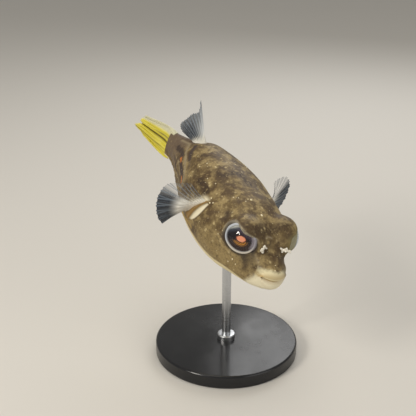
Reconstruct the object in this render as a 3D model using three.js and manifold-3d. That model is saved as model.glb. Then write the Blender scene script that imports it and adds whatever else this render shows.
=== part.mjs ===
// A small freshwater pufferfish, as a still life-size display model on a round stand.
// Millimetres, +Z up. The origin is the centre of the stand's underside. The fish heads towards -Y.
// The fish is drawn in its own frame, x forward, y to its left, z to its back, and then posed.
import * as THREE from "three";
import { mergeVertices } from "three/addons/utils/BufferGeometryUtils.js";
import Module from "manifold-3d";

// Pose of the fish over the stand.
const NOSE_DOWN_DEG = 15.7;
const RIGHT_SIDE_UP_DEG = 11.6;
const BODY_CENTRE_HEIGHT = 70;
const BODY_CENTRE_BACK = 3;

// Body: standard length, and how the rear of the body bends to the fish's right.
const BODY_LENGTH = 100;
const TAIL_BEND_DEG = 24.2;
const BEND_FROM = 70;
const BEND_TO = 102;

// Body sections from the inside of the mouth, over the lips and back to the tail fin:
// distance from the snout, height of the section's centre, reach above it, reach below it,
// half width, how far the sides of the section lie behind its middle, and how square it is.
const SECTIONS = [
  [4.5, -1.3, 0.25, 0.25, 4.4, 3.0, 2.0],
  [2.4, -1.3, 0.3, 0.3, 4.7, 3.0, 2.0],
  [0.9, -1.3, 0.7, 0.7, 5.1, 3.0, 2.1],
  [0.2, -1.3, 1.9, 2.1, 5.5, 3.0, 2.2],
  [0.6, -1.3, 3.4, 3.8, 5.9, 3.0, 2.2],
  [2.0, -1.3, 4.6, 5.2, 6.2, 2.8, 2.2],
  [3.8, -1.3, 5.6, 6.2, 6.6, 2.4, 2.2],
  [6.2, -1.2, 7.0, 7.4, 7.4, 1.7, 2.3],
  [9.5, -1.1, 9.1, 9.0, 8.7, 0.8, 2.4],
  [14.0, -0.9, 12.1, 10.6, 10.1, 0.2, 2.5],
  [20.0, -0.8, 15.2, 12.5, 12.5, 0.0, 2.5],
  [28.0, -0.6, 17.3, 15.4, 15.5, 0.0, 2.4],
  [38.0, -0.4, 17.9, 17.5, 17.6, 0.0, 2.2],
  [49.0, 0.1, 17.8, 17.8, 17.9, 0.0, 2.2],
  [60.0, 0.7, 16.5, 16.9, 16.3, 0.0, 2.2],
  [70.0, 1.2, 14.6, 14.9, 13.6, 0.0, 2.2],
  [79.0, 1.2, 12.4, 12.1, 11.9, 0.0, 2.1],
  [87.0, 0.9, 8.4, 9.3, 8.9, 0.0, 2.0],
  [93.5, 0.4, 6.8, 7.6, 5.7, 0.0, 2.0],
  [98.0, 0.0, 6.6, 7.1, 3.4, 0.0, 2.0],
  [100.0, -0.4, 6.7, 6.8, 2.4, 0.0, 2.0],
];
const LAST = SECTIONS.length - 1;

// The first section behind the lips, and the rows of the body from there on that clears the fins.
const BEHIND_LIPS = 6;
const CLEARANCE_ROWS = 44;

// Where the body is parted into head, trunk and tail stalk, as section numbers.
const HEAD_END = 12.14;
const TRUNK_END = 17.3;
const CUT_GAP = 0.3;
const RING_POINTS = 40;
const HEAD_ROWS = 30;
const TRUNK_ROWS = 16;
const STALK_ROWS = 8;

// Eyes: ball radius, middle of the rim of skin, outward direction and depth of the ball's
// centre behind the rim; then the radius of the skin round the ball and how it meets the head.
const EYE_RADIUS = 7.4;
const EYE_RIM = new THREE.Vector3(32.8, 11.6, 7.5);
const EYE_OUTWARD = new THREE.Vector3(0.45, 0.88, 0.05).normalize();
const EYE_DEPTH = 3.6;
const TURRET_RADIUS = 8.1;
const TURRET_ROOT = 3.0;
const TURRET_BLEND = 2.0;
const EYE_SEGMENTS = 18;
const EYE_BANDS = 12;
const OPENING_DEPTH = 12;
const OPENING_SEGMENTS = 24;

// Nasal tentacles: foot, then the soft knobs that melt into each one, as the distances
// forward, outward and up from the foot, and the radius.
const TENTACLE_FOOT = new THREE.Vector3(40.9, 4.4, 7.2);
const TENTACLE_RIGHT_KNOBS = [
  [0, 0, -0.2, 0.95],
  [0, 0, 0.6, 0.8],
  [0.1, 0.75, 1.0, 0.75],
  [0.3, 1.5, 0.9, 0.75],
  [-0.35, -0.3, 1.3, 0.75],
  [-0.6, -0.95, 1.8, 0.8],
  [-0.85, -1.55, 2.2, 0.65],
];
const TENTACLE_LEFT_KNOBS = [
  [0, 0, -0.2, 0.95],
  [0, 0, 0.6, 0.8],
  [-0.45, -0.6, 1.0, 0.7],
  [0.2, 0.8, 1.0, 0.75],
  [0.45, 1.5, 1.2, 0.75],
  [1.0, 2.1, 0.9, 0.7],
  [1.5, 2.7, 0.8, 0.65],
];
const KNOB_SEGMENTS = 7;
const KNOB_BANDS = 5;

// Fins: thickness at the root and in the blade, the share of the length over which the
// fleshy root thins out, the outer rays' share of it, how far the root reaches into the
// body, and how deep a median fin's foot sits.
const FIN_ROOT_THICKNESS = 2.4;
const FIN_BLADE_THICKNESS = 0.7;
const FIN_FLESHY_SHARE = 0.45;
const FIN_EDGE_SHARE = 0.8;
const FIN_ROOT_DEPTH = 1.5;
const FIN_FOOT_DEPTH = 0.6;
const FIN_STEPS = 6;

// Rays of each median fin: place along the base, lift above straight back in degrees, length.
const DORSAL_FROM = 79.5;
const DORSAL_TO = 87.5;
const DORSAL_RAYS = [
  [0, 47, 19.9],
  [0.14, 43, 14.8],
  [0.32, 30, 15.0],
  [0.5, 18, 14.6],
  [0.68, 6, 14.9],
  [0.84, 2, 12.6],
  [1, 0, 8.4],
];
const ANAL_FROM = 79.5;
const ANAL_TO = 87;
const ANAL_RAYS = [
  [0, 42, 11.2],
  [0.2, 32, 11.0],
  [0.4, 24, 10.4],
  [0.6, 17, 9.6],
  [0.8, 12, 8.4],
  [1, 8, 7.0],
];

// Tail fin, half closed: half height at the root and at the edge, how far it swells between
// them, the length of each ray, and the folds between the rays.
const CAUDAL_ROOT_HALF = 6.9;
const CAUDAL_EDGE_HALF = 4.9;
const CAUDAL_SWELL = 1.2;
const CAUDAL_RAYS = [19.2, 19.8, 20.5, 20.9, 21.0, 20.2, 22.4, 23.4, 23.4, 21.0, 17.5];
const CAUDAL_FOLD = 0.7;
const CAUDAL_FOLDS = 2.5;
const CAUDAL_ROOT_THICKNESS = 3.4;

// Pectoral fins: ends of the base as distance from the snout and angle round the body
// from the side towards the back, how far the fleshy root stands out before the rays turn,
// its thickness, then each ray's direction (out, back, up) and length.
const PECTORAL_TOP = [41.5, 27];
const PECTORAL_BOTTOM = [50, -7];
const PECTORAL_RISE = 2.6;
const PECTORAL_ROOT_THICKNESS = 1.6;
const PECTORAL_RIGHT_RAYS = [
  [0.05, 0.98, 0.05, 9.5],
  [0.1, 0.98, 0.08, 10.5],
  [0.24, 0.95, 0.12, 11.0],
  [0.6, 0.77, 0.17, 12.6],
  [0.85, 0.52, -0.02, 12.8],
  [0.92, 0.28, -0.24, 12.2],
  [0.85, 0.08, -0.5, 11.2],
  [0.68, -0.02, -0.72, 9.6],
];
const PECTORAL_LEFT_RAYS = [
  [0.3, 0.93, 0.18, 10.0],
  [0.37, 0.87, 0.32, 11.3],
  [0.48, 0.68, 0.54, 12.8],
  [0.59, 0.49, 0.64, 14.0],
  [0.74, 0.36, 0.57, 13.5],
  [0.85, 0.26, 0.45, 11.8],
  [0.95, 0.23, 0.2, 11.0],
  [0.98, 0.15, 0.03, 10.0],
];

// Stand: round base with a bevelled edge, and one rod that ends in a blind hole in the belly.
const BASE_RADIUS = 32;
const BASE_HEIGHT = 6;
const BASE_EDGE = 1;
const ROD_RADIUS = 2;
const ROD_TOP = 58;
const BASE_SEGMENTS = 44;
const ROD_SEGMENTS = 24;

const wasm = await Module();
wasm.setup();

/** Eased step from 0 to 1 between two limits. */
function eased(from, to, value) {
  const t = THREE.MathUtils.clamp((value - from) / (to - from), 0, 1);
  return t * t * (3 - 2 * t);
}

/** Smooth value of one column of the section table at a fractional section number. */
function sectionValue(column, t) {
  const i = Math.min(Math.floor(t), LAST - 1);
  const f = t - i;
  const at = (k) => SECTIONS[THREE.MathUtils.clamp(k, 0, LAST)][column];
  const slope0 = (at(i + 1) - at(i - 1)) / 2;
  const slope1 = (at(i + 2) - at(i)) / 2;
  const a = 2 * at(i) - 2 * at(i + 1) + slope0 + slope1;
  const b = 3 * at(i + 1) - 3 * at(i) - 2 * slope0 - slope1;
  return ((a * f + b) * f + slope0) * f + at(i);
}

/** Section number at a distance behind the snout, for places behind the lips. */
function sectionAt(distance) {
  let low = BEHIND_LIPS;
  let high = LAST;
  for (let i = 0; i < 30; i += 1) {
    const middle = (low + high) / 2;
    if (sectionValue(0, middle) < distance) low = middle;
    else high = middle;
  }
  return (low + high) / 2;
}

/** Heading of the spine, in radians to the fish's right, at a distance behind the snout. */
function heading(distance) {
  return THREE.MathUtils.degToRad(TAIL_BEND_DEG) * eased(BEND_FROM, BEND_TO, distance);
}

/** Point of the spine at a distance behind the snout. */
function spine(distance) {
  const steps = 40;
  const point = new THREE.Vector3(BODY_LENGTH / 2 - Math.min(distance, BEND_FROM), 0, 0);
  const step = Math.max(distance - BEND_FROM, 0) / steps;
  for (let i = 0; i < steps; i += 1) {
    const angle = heading(BEND_FROM + (i + 0.5) * step);
    point.x -= Math.cos(angle) * step;
    point.y -= Math.sin(angle) * step;
  }
  return point;
}

/** Unit vectors back along the body, to its left and up, at a distance behind the snout. */
function axesAt(distance) {
  const angle = heading(distance);
  const back = new THREE.Vector3(-Math.cos(angle), -Math.sin(angle), 0);
  const left = new THREE.Vector3(-Math.sin(angle), Math.cos(angle), 0);
  return { back, left, up: new THREE.Vector3(0, 0, 1) };
}

/** The same point or direction on the fish's other side. */
function mirrored(vector, side) {
  return new THREE.Vector3(vector.x, vector.y * side, vector.z);
}

/** Centre of the eyeball on one side, or a point further in on the same line. */
function eyeCentre(side, further = 0) {
  const centre = EYE_RIM.clone().addScaledVector(EYE_OUTWARD, -EYE_DEPTH - further);
  return mirrored(centre, side);
}

/** Carries a point of the plain body outwards on to the round turret of each eye. */
function raisedByTurrets(point) {
  const raised = point.clone();
  for (const side of [1, -1]) {
    const root = eyeCentre(side, TURRET_ROOT);
    const reach = point.distanceTo(root);
    const direction = point.clone().sub(root).divideScalar(reach);
    const half = direction.dot(eyeCentre(side).sub(root));
    const turret = half + Math.sqrt(half * half + TURRET_RADIUS ** 2 - TURRET_ROOT ** 2);
    const gap = turret - reach;
    raised.addScaledVector(direction, (gap + Math.hypot(gap, TURRET_BLEND)) / 2);
  }
  return raised;
}

/** Point of the body's surface in the fish's frame; grow moves it outwards. */
function bodyPoint(t, angle, grow = 0) {
  const c = Math.cos(angle);
  const s = Math.sin(angle);
  const power = 2 / sectionValue(6, t);
  const round = (v) => Math.sign(v) * Math.pow(Math.abs(v), power);
  const reach = sectionValue(s > 0 ? 2 : 3, t) + grow;
  const across = (sectionValue(4, t) + grow) * round(c);
  const height = sectionValue(1, t) + reach * round(s);
  const distance = sectionValue(0, t) + sectionValue(5, t) * c * c;
  const { left } = axesAt(distance);
  const point = spine(distance).addScaledVector(left, across);
  point.z += height;
  return raisedByTurrets(point);
}

/** Carries a point from the fish's frame to its place over the stand. */
function posed(point) {
  const pitch = THREE.MathUtils.degToRad(NOSE_DOWN_DEG);
  const roll = THREE.MathUtils.degToRad(RIGHT_SIDE_UP_DEG);
  const forward = new THREE.Vector3(0, -Math.cos(pitch), -Math.sin(pitch));
  const level = new THREE.Vector3(1, 0, 0);
  const upright = new THREE.Vector3(0, -Math.sin(pitch), Math.cos(pitch));
  const left = level.clone().multiplyScalar(Math.cos(roll)).addScaledVector(upright, -Math.sin(roll));
  const up = level.clone().multiplyScalar(Math.sin(roll)).addScaledVector(upright, Math.cos(roll));
  return new THREE.Vector3(0, BODY_CENTRE_BACK, BODY_CENTRE_HEIGHT)
    .addScaledVector(forward, point.x)
    .addScaledVector(left, point.y)
    .addScaledVector(up, point.z);
}

/** Closed geometry from rows of ring points; each end is closed by a fan, or by a strip across it. */
function ringGeometry(rows, strips = false) {
  const positions = [];
  const indices = [];
  const count = rows[0].length;
  rows.flat().forEach((p) => positions.push(p.x, p.y, p.z));
  for (let r = 0; r + 1 < rows.length; r += 1) {
    for (let k = 0; k < count; k += 1) {
      const a = r * count + k;
      const b = r * count + ((k + 1) % count);
      indices.push(a, b, a + count, b, b + count, a + count);
    }
  }
  for (const [row, flip] of [[0, true], [rows.length - 1, false]]) {
    if (strips) {
      for (let k = 0; k + 1 < count / 2; k += 1) {
        const a = row * count + k;
        const c = row * count + count - 1 - k;
        indices.push(a, flip ? c : a + 1, flip ? a + 1 : c);
        indices.push(c, flip ? c - 1 : a + 1, flip ? a + 1 : c - 1);
      }
      continue;
    }
    const centre = rows[row].reduce((sum, p) => sum.add(p), new THREE.Vector3()).divideScalar(count);
    const hub = positions.length / 3;
    positions.push(centre.x, centre.y, centre.z);
    for (let k = 0; k < count; k += 1) {
      const a = row * count + k;
      const b = row * count + ((k + 1) % count);
      indices.push(hub, flip ? b : a, flip ? a : b);
    }
  }
  const geometry = new THREE.BufferGeometry();
  geometry.setAttribute("position", new THREE.Float32BufferAttribute(positions, 3));
  geometry.setIndex(indices);
  return geometry;
}

/** A three.js geometry as a solid that can be cut and joined. */
function toSolid(geometry) {
  const plain = geometry.clone();
  plain.deleteAttribute("normal");
  plain.deleteAttribute("uv");
  const merged = mergeVertices(plain, 1e-4);
  const vertProperties = merged.attributes.position.array;
  const triVerts = new Uint32Array(merged.index.array);
  const solid = new wasm.Manifold(new wasm.Mesh({ numProp: 3, vertProperties, triVerts }));
  if (solid.volume() > 0) return solid;
  for (let i = 0; i < triVerts.length; i += 3) {
    triVerts.subarray(i, i + 3).reverse();
  }
  return new wasm.Manifold(new wasm.Mesh({ numProp: 3, vertProperties, triVerts }));
}

/** A solid as a three.js geometry. */
function toGeometry(solid) {
  const mesh = solid.getMesh();
  const geometry = new THREE.BufferGeometry();
  geometry.setAttribute("position", new THREE.Float32BufferAttribute(mesh.vertProperties, 3));
  geometry.setIndex(Array.from(mesh.triVerts));
  geometry.computeVertexNormals();
  return geometry;
}

/** Length of the body between two section numbers as a closed solid. */
function bodyLength(from, to, rows, grow = 0) {
  const rings = [];
  for (let r = 0; r <= rows; r += 1) {
    const t = from + ((to - from) * r) / rows;
    const ring = [];
    for (let k = 0; k < RING_POINTS; k += 1) {
      ring.push(posed(bodyPoint(t, (2 * Math.PI * k) / RING_POINTS, grow)));
    }
    rings.push(ring);
  }
  return toSolid(ringGeometry(rings));
}

/** Section number a little further back, by the width of the cut between two lengths. */
function afterCut(t) {
  return sectionAt(sectionValue(0, t) + CUT_GAP);
}

/** Ball posed with the fish. */
function ball(centre, radius) {
  const place = posed(centre);
  const geometry = new THREE.SphereGeometry(radius, EYE_SEGMENTS, EYE_BANDS);
  geometry.translate(place.x, place.y, place.z);
  return toSolid(geometry);
}

/** Everything outside the rim of skin, in front of one eye. */
function eyeOpening(side) {
  const radius = TURRET_RADIUS + 1;
  const geometry = new THREE.CylinderGeometry(radius, radius, OPENING_DEPTH, OPENING_SEGMENTS);
  geometry.translate(0, OPENING_DEPTH / 2, 0);
  const turn = new THREE.Quaternion();
  turn.setFromUnitVectors(new THREE.Vector3(0, 1, 0), mirrored(EYE_OUTWARD, side));
  geometry.applyQuaternion(turn);
  const rim = mirrored(EYE_RIM, side);
  geometry.translate(rim.x, rim.y, rim.z);
  return toSolid(posedGeometry(geometry));
}

/** Solid blade between two faces made from rays: each ray is a list of points and its thicknesses. */
function blade(rays, thicknesses, rootDirection) {
  const last = rays.length - 1;
  const steps = thicknesses.length;
  const normalAt = (i, j) => {
    const across = rays[Math.min(i + 1, last)][j].clone().sub(rays[Math.max(i - 1, 0)][j]);
    const outwards = rays[i][Math.min(j + 1, steps - 1)].clone().sub(rays[i][Math.max(j - 1, 0)]);
    const normal = across.cross(outwards);
    return normal.lengthSq() > 0 ? normal.normalize() : rootDirection.clone();
  };
  const rings = [];
  for (let j = 0; j < steps; j += 1) {
    const front = [];
    const rear = [];
    for (let i = 0; i <= last; i += 1) {
      const edge = i === 0 || i === last ? FIN_EDGE_SHARE : 1;
      const half = (thicknesses[j] * edge) / 2;
      const normal = normalAt(i, j);
      front.push(posed(rays[i][j].clone().addScaledVector(normal, half)));
      rear.unshift(posed(rays[i][j].clone().addScaledVector(normal, -half)));
    }
    rings.push([...front, ...rear]);
  }
  return toSolid(ringGeometry(rings, true));
}

/** Thickness of a fin from its root to its edge. */
function finThicknesses(root) {
  const list = [];
  for (let j = 0; j <= FIN_STEPS; j += 1) {
    const fall = eased(0, FIN_FLESHY_SHARE, j / FIN_STEPS);
    list.push(root + (FIN_BLADE_THICKNESS - root) * fall);
  }
  return list;
}

/** Points along a straight ray, from inside the body to its tip. */
function rayPoints(foot, direction, length) {
  const points = [];
  for (let j = 0; j <= FIN_STEPS; j += 1) {
    const reach = -FIN_ROOT_DEPTH + ((length + FIN_ROOT_DEPTH) * j) / FIN_STEPS;
    points.push(foot.clone().addScaledVector(direction, reach));
  }
  return points;
}

/** Dorsal or anal fin on the midline; side is 1 on the back and -1 on the belly. */
function medianFin(from, to, rows, side) {
  const rays = rows.map(([place, lift, length]) => {
    const distance = from + (to - from) * place;
    const foot = bodyPoint(sectionAt(distance), (side * Math.PI) / 2);
    const { back, up } = axesAt(distance);
    const angle = THREE.MathUtils.degToRad(lift);
    const direction = back.clone().multiplyScalar(Math.cos(angle));
    direction.addScaledVector(up, side * Math.sin(angle));
    return rayPoints(foot.addScaledVector(up, -side * FIN_FOOT_DEPTH), direction, length);
  });
  return blade(rays, finThicknesses(FIN_ROOT_THICKNESS), axesAt(to).left);
}

/** Tail fin, folded between its rays. */
function caudalFin() {
  const { back, left, up } = axesAt(BODY_LENGTH);
  const root = spine(BODY_LENGTH).addScaledVector(up, sectionValue(1, LAST));
  const last = CAUDAL_RAYS.length - 1;
  const rays = CAUDAL_RAYS.map((length, i) => {
    const place = 1 - (2 * i) / last;
    const fold = CAUDAL_FOLD * Math.sin(CAUDAL_FOLDS * 2 * Math.PI * (i / last));
    const points = [];
    for (let j = 0; j <= FIN_STEPS; j += 1) {
      const share = j / FIN_STEPS;
      const swell = CAUDAL_SWELL * Math.sin(Math.PI * share ** 0.7);
      const half = THREE.MathUtils.lerp(CAUDAL_ROOT_HALF, CAUDAL_EDGE_HALF, eased(0, 1, share)) + swell;
      const point = root.clone().addScaledVector(back, -FIN_ROOT_DEPTH + (length + FIN_ROOT_DEPTH) * share);
      point.addScaledVector(up, place * half);
      points.push(point.addScaledVector(left, fold * eased(0, FIN_FLESHY_SHARE, share)));
    }
    return points;
  });
  return blade(rays, finThicknesses(CAUDAL_ROOT_THICKNESS), left);
}

/** Pectoral fin, a fan whose base runs down the flank behind the gill opening. */
function pectoralFin(rows, side) {
  const last = rows.length - 1;
  const rays = rows.map(([out, back, up, length], i) => {
    const share = i / last;
    const section = sectionAt(THREE.MathUtils.lerp(PECTORAL_TOP[0], PECTORAL_BOTTOM[0], share));
    const height = THREE.MathUtils.lerp(PECTORAL_TOP[1], PECTORAL_BOTTOM[1], share);
    const angle = THREE.MathUtils.degToRad(side > 0 ? height : 180 - height);
    const foot = bodyPoint(section, angle);
    const outward = bodyPoint(section, angle, 1).sub(foot).normalize();
    const start = foot.clone().addScaledVector(outward, -FIN_ROOT_DEPTH);
    const bend = foot.clone().addScaledVector(outward, PECTORAL_RISE);
    const direction = new THREE.Vector3(-back, side * out, up).normalize();
    const tip = bend.clone().addScaledVector(direction, length);
    return new THREE.QuadraticBezierCurve3(start, bend, tip).getPoints(FIN_STEPS);
  });
  return blade(rays, finThicknesses(PECTORAL_ROOT_THICKNESS), new THREE.Vector3(1, 0, 0));
}

/** Nasal tentacle on one side: a cluster of soft knobs on a short stem. */
function nasalTentacle(knobs, side) {
  const balls = knobs.map(([forward, outward, up, radius]) => {
    const knob = new THREE.SphereGeometry(radius, KNOB_SEGMENTS, KNOB_BANDS);
    const centre = TENTACLE_FOOT.clone().add(new THREE.Vector3(forward, outward, up));
    centre.y *= side;
    knob.translate(centre.x, centre.y, centre.z);
    return toSolid(posedGeometry(knob));
  });
  return balls.reduce((a, b) => a.add(b));
}

/** Poses every vertex of a geometry drawn in the fish's frame. */
function posedGeometry(geometry) {
  const position = geometry.attributes.position;
  for (let i = 0; i < position.count; i += 1) {
    const place = posed(new THREE.Vector3().fromBufferAttribute(position, i));
    position.setXYZ(i, place.x, place.y, place.z);
  }
  return geometry;
}

/** Upright cylinder on the stand's axis. */
function uprightRod(radius, from, to) {
  const geometry = new THREE.CylinderGeometry(radius, radius, to - from, ROD_SEGMENTS);
  geometry.rotateX(Math.PI / 2);
  geometry.translate(0, 0, (from + to) / 2);
  return toSolid(geometry);
}

/** Round base with a small bevel round its upper edge. */
function standBase() {
  const profile = [
    new THREE.Vector2(0, 0),
    new THREE.Vector2(BASE_RADIUS, 0),
    new THREE.Vector2(BASE_RADIUS, BASE_HEIGHT - BASE_EDGE),
    new THREE.Vector2(BASE_RADIUS - BASE_EDGE, BASE_HEIGHT),
    new THREE.Vector2(0, BASE_HEIGHT),
  ];
  const geometry = new THREE.LatheGeometry(profile, BASE_SEGMENTS);
  geometry.rotateX(Math.PI / 2);
  return toSolid(geometry);
}

const MATERIALS = {
  skin: new THREE.MeshStandardMaterial({ color: "#75664a", roughness: 0.5, metalness: 0 }),
  tail: new THREE.MeshStandardMaterial({ color: "#b3a63e", roughness: 0.5, metalness: 0 }),
  membrane: new THREE.MeshStandardMaterial({ color: "#7d858c", roughness: 0.45, metalness: 0 }),
  eye: new THREE.MeshStandardMaterial({ color: "#1e1519", roughness: 0.1, metalness: 0 }),
  tentacle: new THREE.MeshStandardMaterial({ color: "#e6dccb", roughness: 0.5, metalness: 0 }),
  base: new THREE.MeshStandardMaterial({ color: "#26272a", roughness: 0.4, metalness: 0 }),
  rod: new THREE.MeshStandardMaterial({ color: "#b9bcc0", roughness: 0.3, metalness: 1 }),
};

const model = new THREE.Group();
model.name = "pufferfish";

/** Adds one named piece to the model. */
function addPiece(name, solid, material) {
  const mesh = new THREE.Mesh(toGeometry(solid), material);
  mesh.name = name;
  model.add(mesh);
}

const clearance = bodyLength(BEHIND_LIPS, LAST, CLEARANCE_ROWS, CUT_GAP);
const socket = (side) => ball(eyeCentre(side), EYE_RADIUS + CUT_GAP).add(eyeOpening(side));
const head = bodyLength(0, HEAD_END, HEAD_ROWS).subtract(socket(1)).subtract(socket(-1));
const trunk = bodyLength(afterCut(HEAD_END), TRUNK_END, TRUNK_ROWS);
const rodHole = uprightRod(ROD_RADIUS + CUT_GAP, BASE_HEIGHT, ROD_TOP + CUT_GAP);

addPiece("head", head, MATERIALS.skin);
addPiece("trunk", trunk.subtract(rodHole), MATERIALS.skin);
addPiece("tail_stalk", bodyLength(afterCut(TRUNK_END), LAST, STALK_ROWS), MATERIALS.skin);
const dorsal = medianFin(DORSAL_FROM, DORSAL_TO, DORSAL_RAYS, 1);
const anal = medianFin(ANAL_FROM, ANAL_TO, ANAL_RAYS, -1);
addPiece("fin_dorsal", dorsal.subtract(clearance), MATERIALS.membrane);
addPiece("fin_anal", anal.subtract(clearance), MATERIALS.membrane);
addPiece("fin_caudal", caudalFin().subtract(clearance), MATERIALS.tail);
for (const [name, side, rows, knobs] of [
  ["right", -1, PECTORAL_RIGHT_RAYS, TENTACLE_RIGHT_KNOBS],
  ["left", 1, PECTORAL_LEFT_RAYS, TENTACLE_LEFT_KNOBS],
]) {
  addPiece(`fin_pectoral_${name}`, pectoralFin(rows, side).subtract(clearance), MATERIALS.membrane);
  addPiece(`eye_${name}`, ball(eyeCentre(side), EYE_RADIUS), MATERIALS.eye);
  addPiece(`nasal_tentacle_${name}`, nasalTentacle(knobs, side).subtract(clearance), MATERIALS.tentacle);
}
addPiece("stand_base", standBase(), MATERIALS.base);
addPiece("stand_rod", uprightRod(ROD_RADIUS, BASE_HEIGHT, ROD_TOP), MATERIALS.rod);

export default model;
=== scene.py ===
"""A small freshwater pufferfish, held as a still life-size display model on a round stand.

The fish is drawn in millimetres in its own frame (x forward, y to its left, z to its back),
then posed over the stand and handed to Blender in metres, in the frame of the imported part.
"""

import logging
from dataclasses import dataclass
from enum import Enum

import bpy
import numpy as np
from bpy.types import Material, Node, NodeSocket, NodeTree, Object
from mathutils import Matrix


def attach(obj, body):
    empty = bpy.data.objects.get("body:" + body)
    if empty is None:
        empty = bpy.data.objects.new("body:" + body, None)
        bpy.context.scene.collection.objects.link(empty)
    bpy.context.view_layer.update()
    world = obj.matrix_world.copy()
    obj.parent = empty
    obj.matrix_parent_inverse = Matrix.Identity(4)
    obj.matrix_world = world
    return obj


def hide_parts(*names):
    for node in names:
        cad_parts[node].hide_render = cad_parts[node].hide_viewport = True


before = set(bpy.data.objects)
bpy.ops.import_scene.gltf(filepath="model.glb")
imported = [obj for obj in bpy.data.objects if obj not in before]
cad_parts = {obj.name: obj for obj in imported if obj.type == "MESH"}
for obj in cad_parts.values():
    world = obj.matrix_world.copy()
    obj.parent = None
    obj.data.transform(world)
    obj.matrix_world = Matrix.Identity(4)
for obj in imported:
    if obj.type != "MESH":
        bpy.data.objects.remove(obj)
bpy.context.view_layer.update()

Array = np.ndarray
Pair = tuple[float, float]
Triple = tuple[float, float, float]

METRES = 0.001  # one millimetre
BODY_NAME = "root"
SMOOTH = {"interpolation_type": "SMOOTHSTEP"}
log = logging.getLogger("pufferfish")


class Side(Enum):
    """Side of the fish, as the sign of its y."""

    LEFT = 1
    RIGHT = -1


BOTH = (Side.LEFT, Side.RIGHT)
LEFT_ONLY = (Side.LEFT,)
RIGHT_ONLY = (Side.RIGHT,)


# -------- small tools


def eased(start: float, end: float, value: Array | float) -> Array:
    """Smooth step from 0 at start to 1 at end.

    Args:
        start: Value where the step begins.
        end: Value where the step is complete.
        value: Numbers to ease.

    Returns:
        The eased numbers, from 0 to 1.
    """
    t = np.clip((np.asarray(value, float) - start) / (end - start), 0, 1)
    return t * t * (3 - 2 * t)


def window(start: float, end: float, soft: float, value: Array) -> Array:
    """Mask that is 1 from start to end and fades over a soft edge outside each."""
    return eased(start - soft, start, value) * (1 - eased(end, end + soft, value))


def hill(distance: Array, width: float) -> Array:
    """Rounded hill that is 1 at distance 0 and falls to about a third at the given width."""
    return np.exp(-((distance / width) ** 2))


def curve_through(knots: Array, place: Array) -> Array:
    """Smooth curve through evenly spaced knots.

    Args:
        knots: Values at whole-number places, along the first axis.
        place: Places to read, from 0 to the last knot.

    Returns:
        The values at those places.
    """
    last = len(knots) - 1
    i = np.minimum(np.floor(place).astype(int), last - 1)
    f = (place - i).reshape(-1, *[1] * (knots.ndim - 1))
    before, here = knots[np.clip(i - 1, 0, last)], knots[i]
    after, beyond = knots[i + 1], knots[np.clip(i + 2, 0, last)]
    slope0, slope1 = (after - before) / 2, (beyond - here) / 2
    a = 2 * here - 2 * after + slope0 + slope1
    b = 3 * after - 3 * here - 2 * slope0 - slope1
    return ((a * f + b) * f + slope0) * f + here


def unit(vectors: Array) -> Array:
    """Vectors scaled to length 1."""
    return vectors / np.maximum(np.linalg.norm(vectors, axis=-1, keepdims=True), 1e-9)


def linear(code: str, alpha: float = 1.0) -> tuple[float, float, float, float]:
    """Linear colour of an sRGB hex code.

    Args:
        code: Colour such as "#83714d".
        alpha: Fourth value to put beside it.

    Returns:
        Red, green, blue and alpha for a colour socket.
    """
    levels = [int(code[i : i + 2], 16) / 255 for i in (1, 3, 5)]
    curve = [v / 12.92 if v <= 0.04045 else ((v + 0.055) / 1.055) ** 2.4 for v in levels]
    return (curve[0], curve[1], curve[2], alpha)


def add_node(tree: NodeTree, kind: str, settings: dict, links: dict) -> Node:
    """Adds one node with its settings and its links.

    Args:
        tree: Node tree that gets the node.
        kind: Blender's name of the kind of node.
        settings: Values by property name, or by name or number of an input socket.
        links: Output sockets by name or number of the input socket that each feeds.

    Returns:
        The new node.
    """
    node = tree.nodes.new(kind)
    for name, value in settings.items():
        if isinstance(name, int) or name in node.inputs:
            node.inputs[name].default_value = value
        else:
            setattr(node, name, value)
    for name, socket in links.items():
        tree.links.new(socket, node.inputs[name])
    return node


def new_material(name: str) -> tuple[Material, NodeTree]:
    """Makes a material with an empty node tree, and gives both."""
    material = bpy.data.materials.new(name)
    material.use_nodes = True
    material.node_tree.nodes.clear()
    return material, material.node_tree


def painted(tree: NodeTree, ground: str, coats: list) -> NodeSocket:
    """Lays coats of colour over a ground, one after another.

    Args:
        tree: Node tree.
        ground: Hex colour under the first coat.
        coats: Pairs of a mask socket and a hex colour; at least one.

    Returns:
        The colour after the last coat.
    """
    settings, links = {6: linear(ground)}, {}
    for mask, code in coats:
        coat = add_node(
            tree, "ShaderNodeMix", {"data_type": "RGBA", 7: linear(code), **settings}, {0: mask, **links}
        )
        settings, links = {}, {6: coat.outputs[2]}
    return coat.outputs[2]


def lathe(radius: Array, height: Array, columns: int) -> Array:
    """Rings of a profile turned round the third axis.

    Args:
        radius: Radius of each ring.
        height: Height of each ring.
        columns: Points of each ring.

    Returns:
        The points, as rows by columns by 3.
    """
    turn = np.linspace(0, 2 * np.pi, columns, endpoint=False)
    radius, height = radius[:, None], height[:, None]
    return np.stack([radius * np.cos(turn), radius * np.sin(turn), height + 0 * turn], -1)


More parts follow.
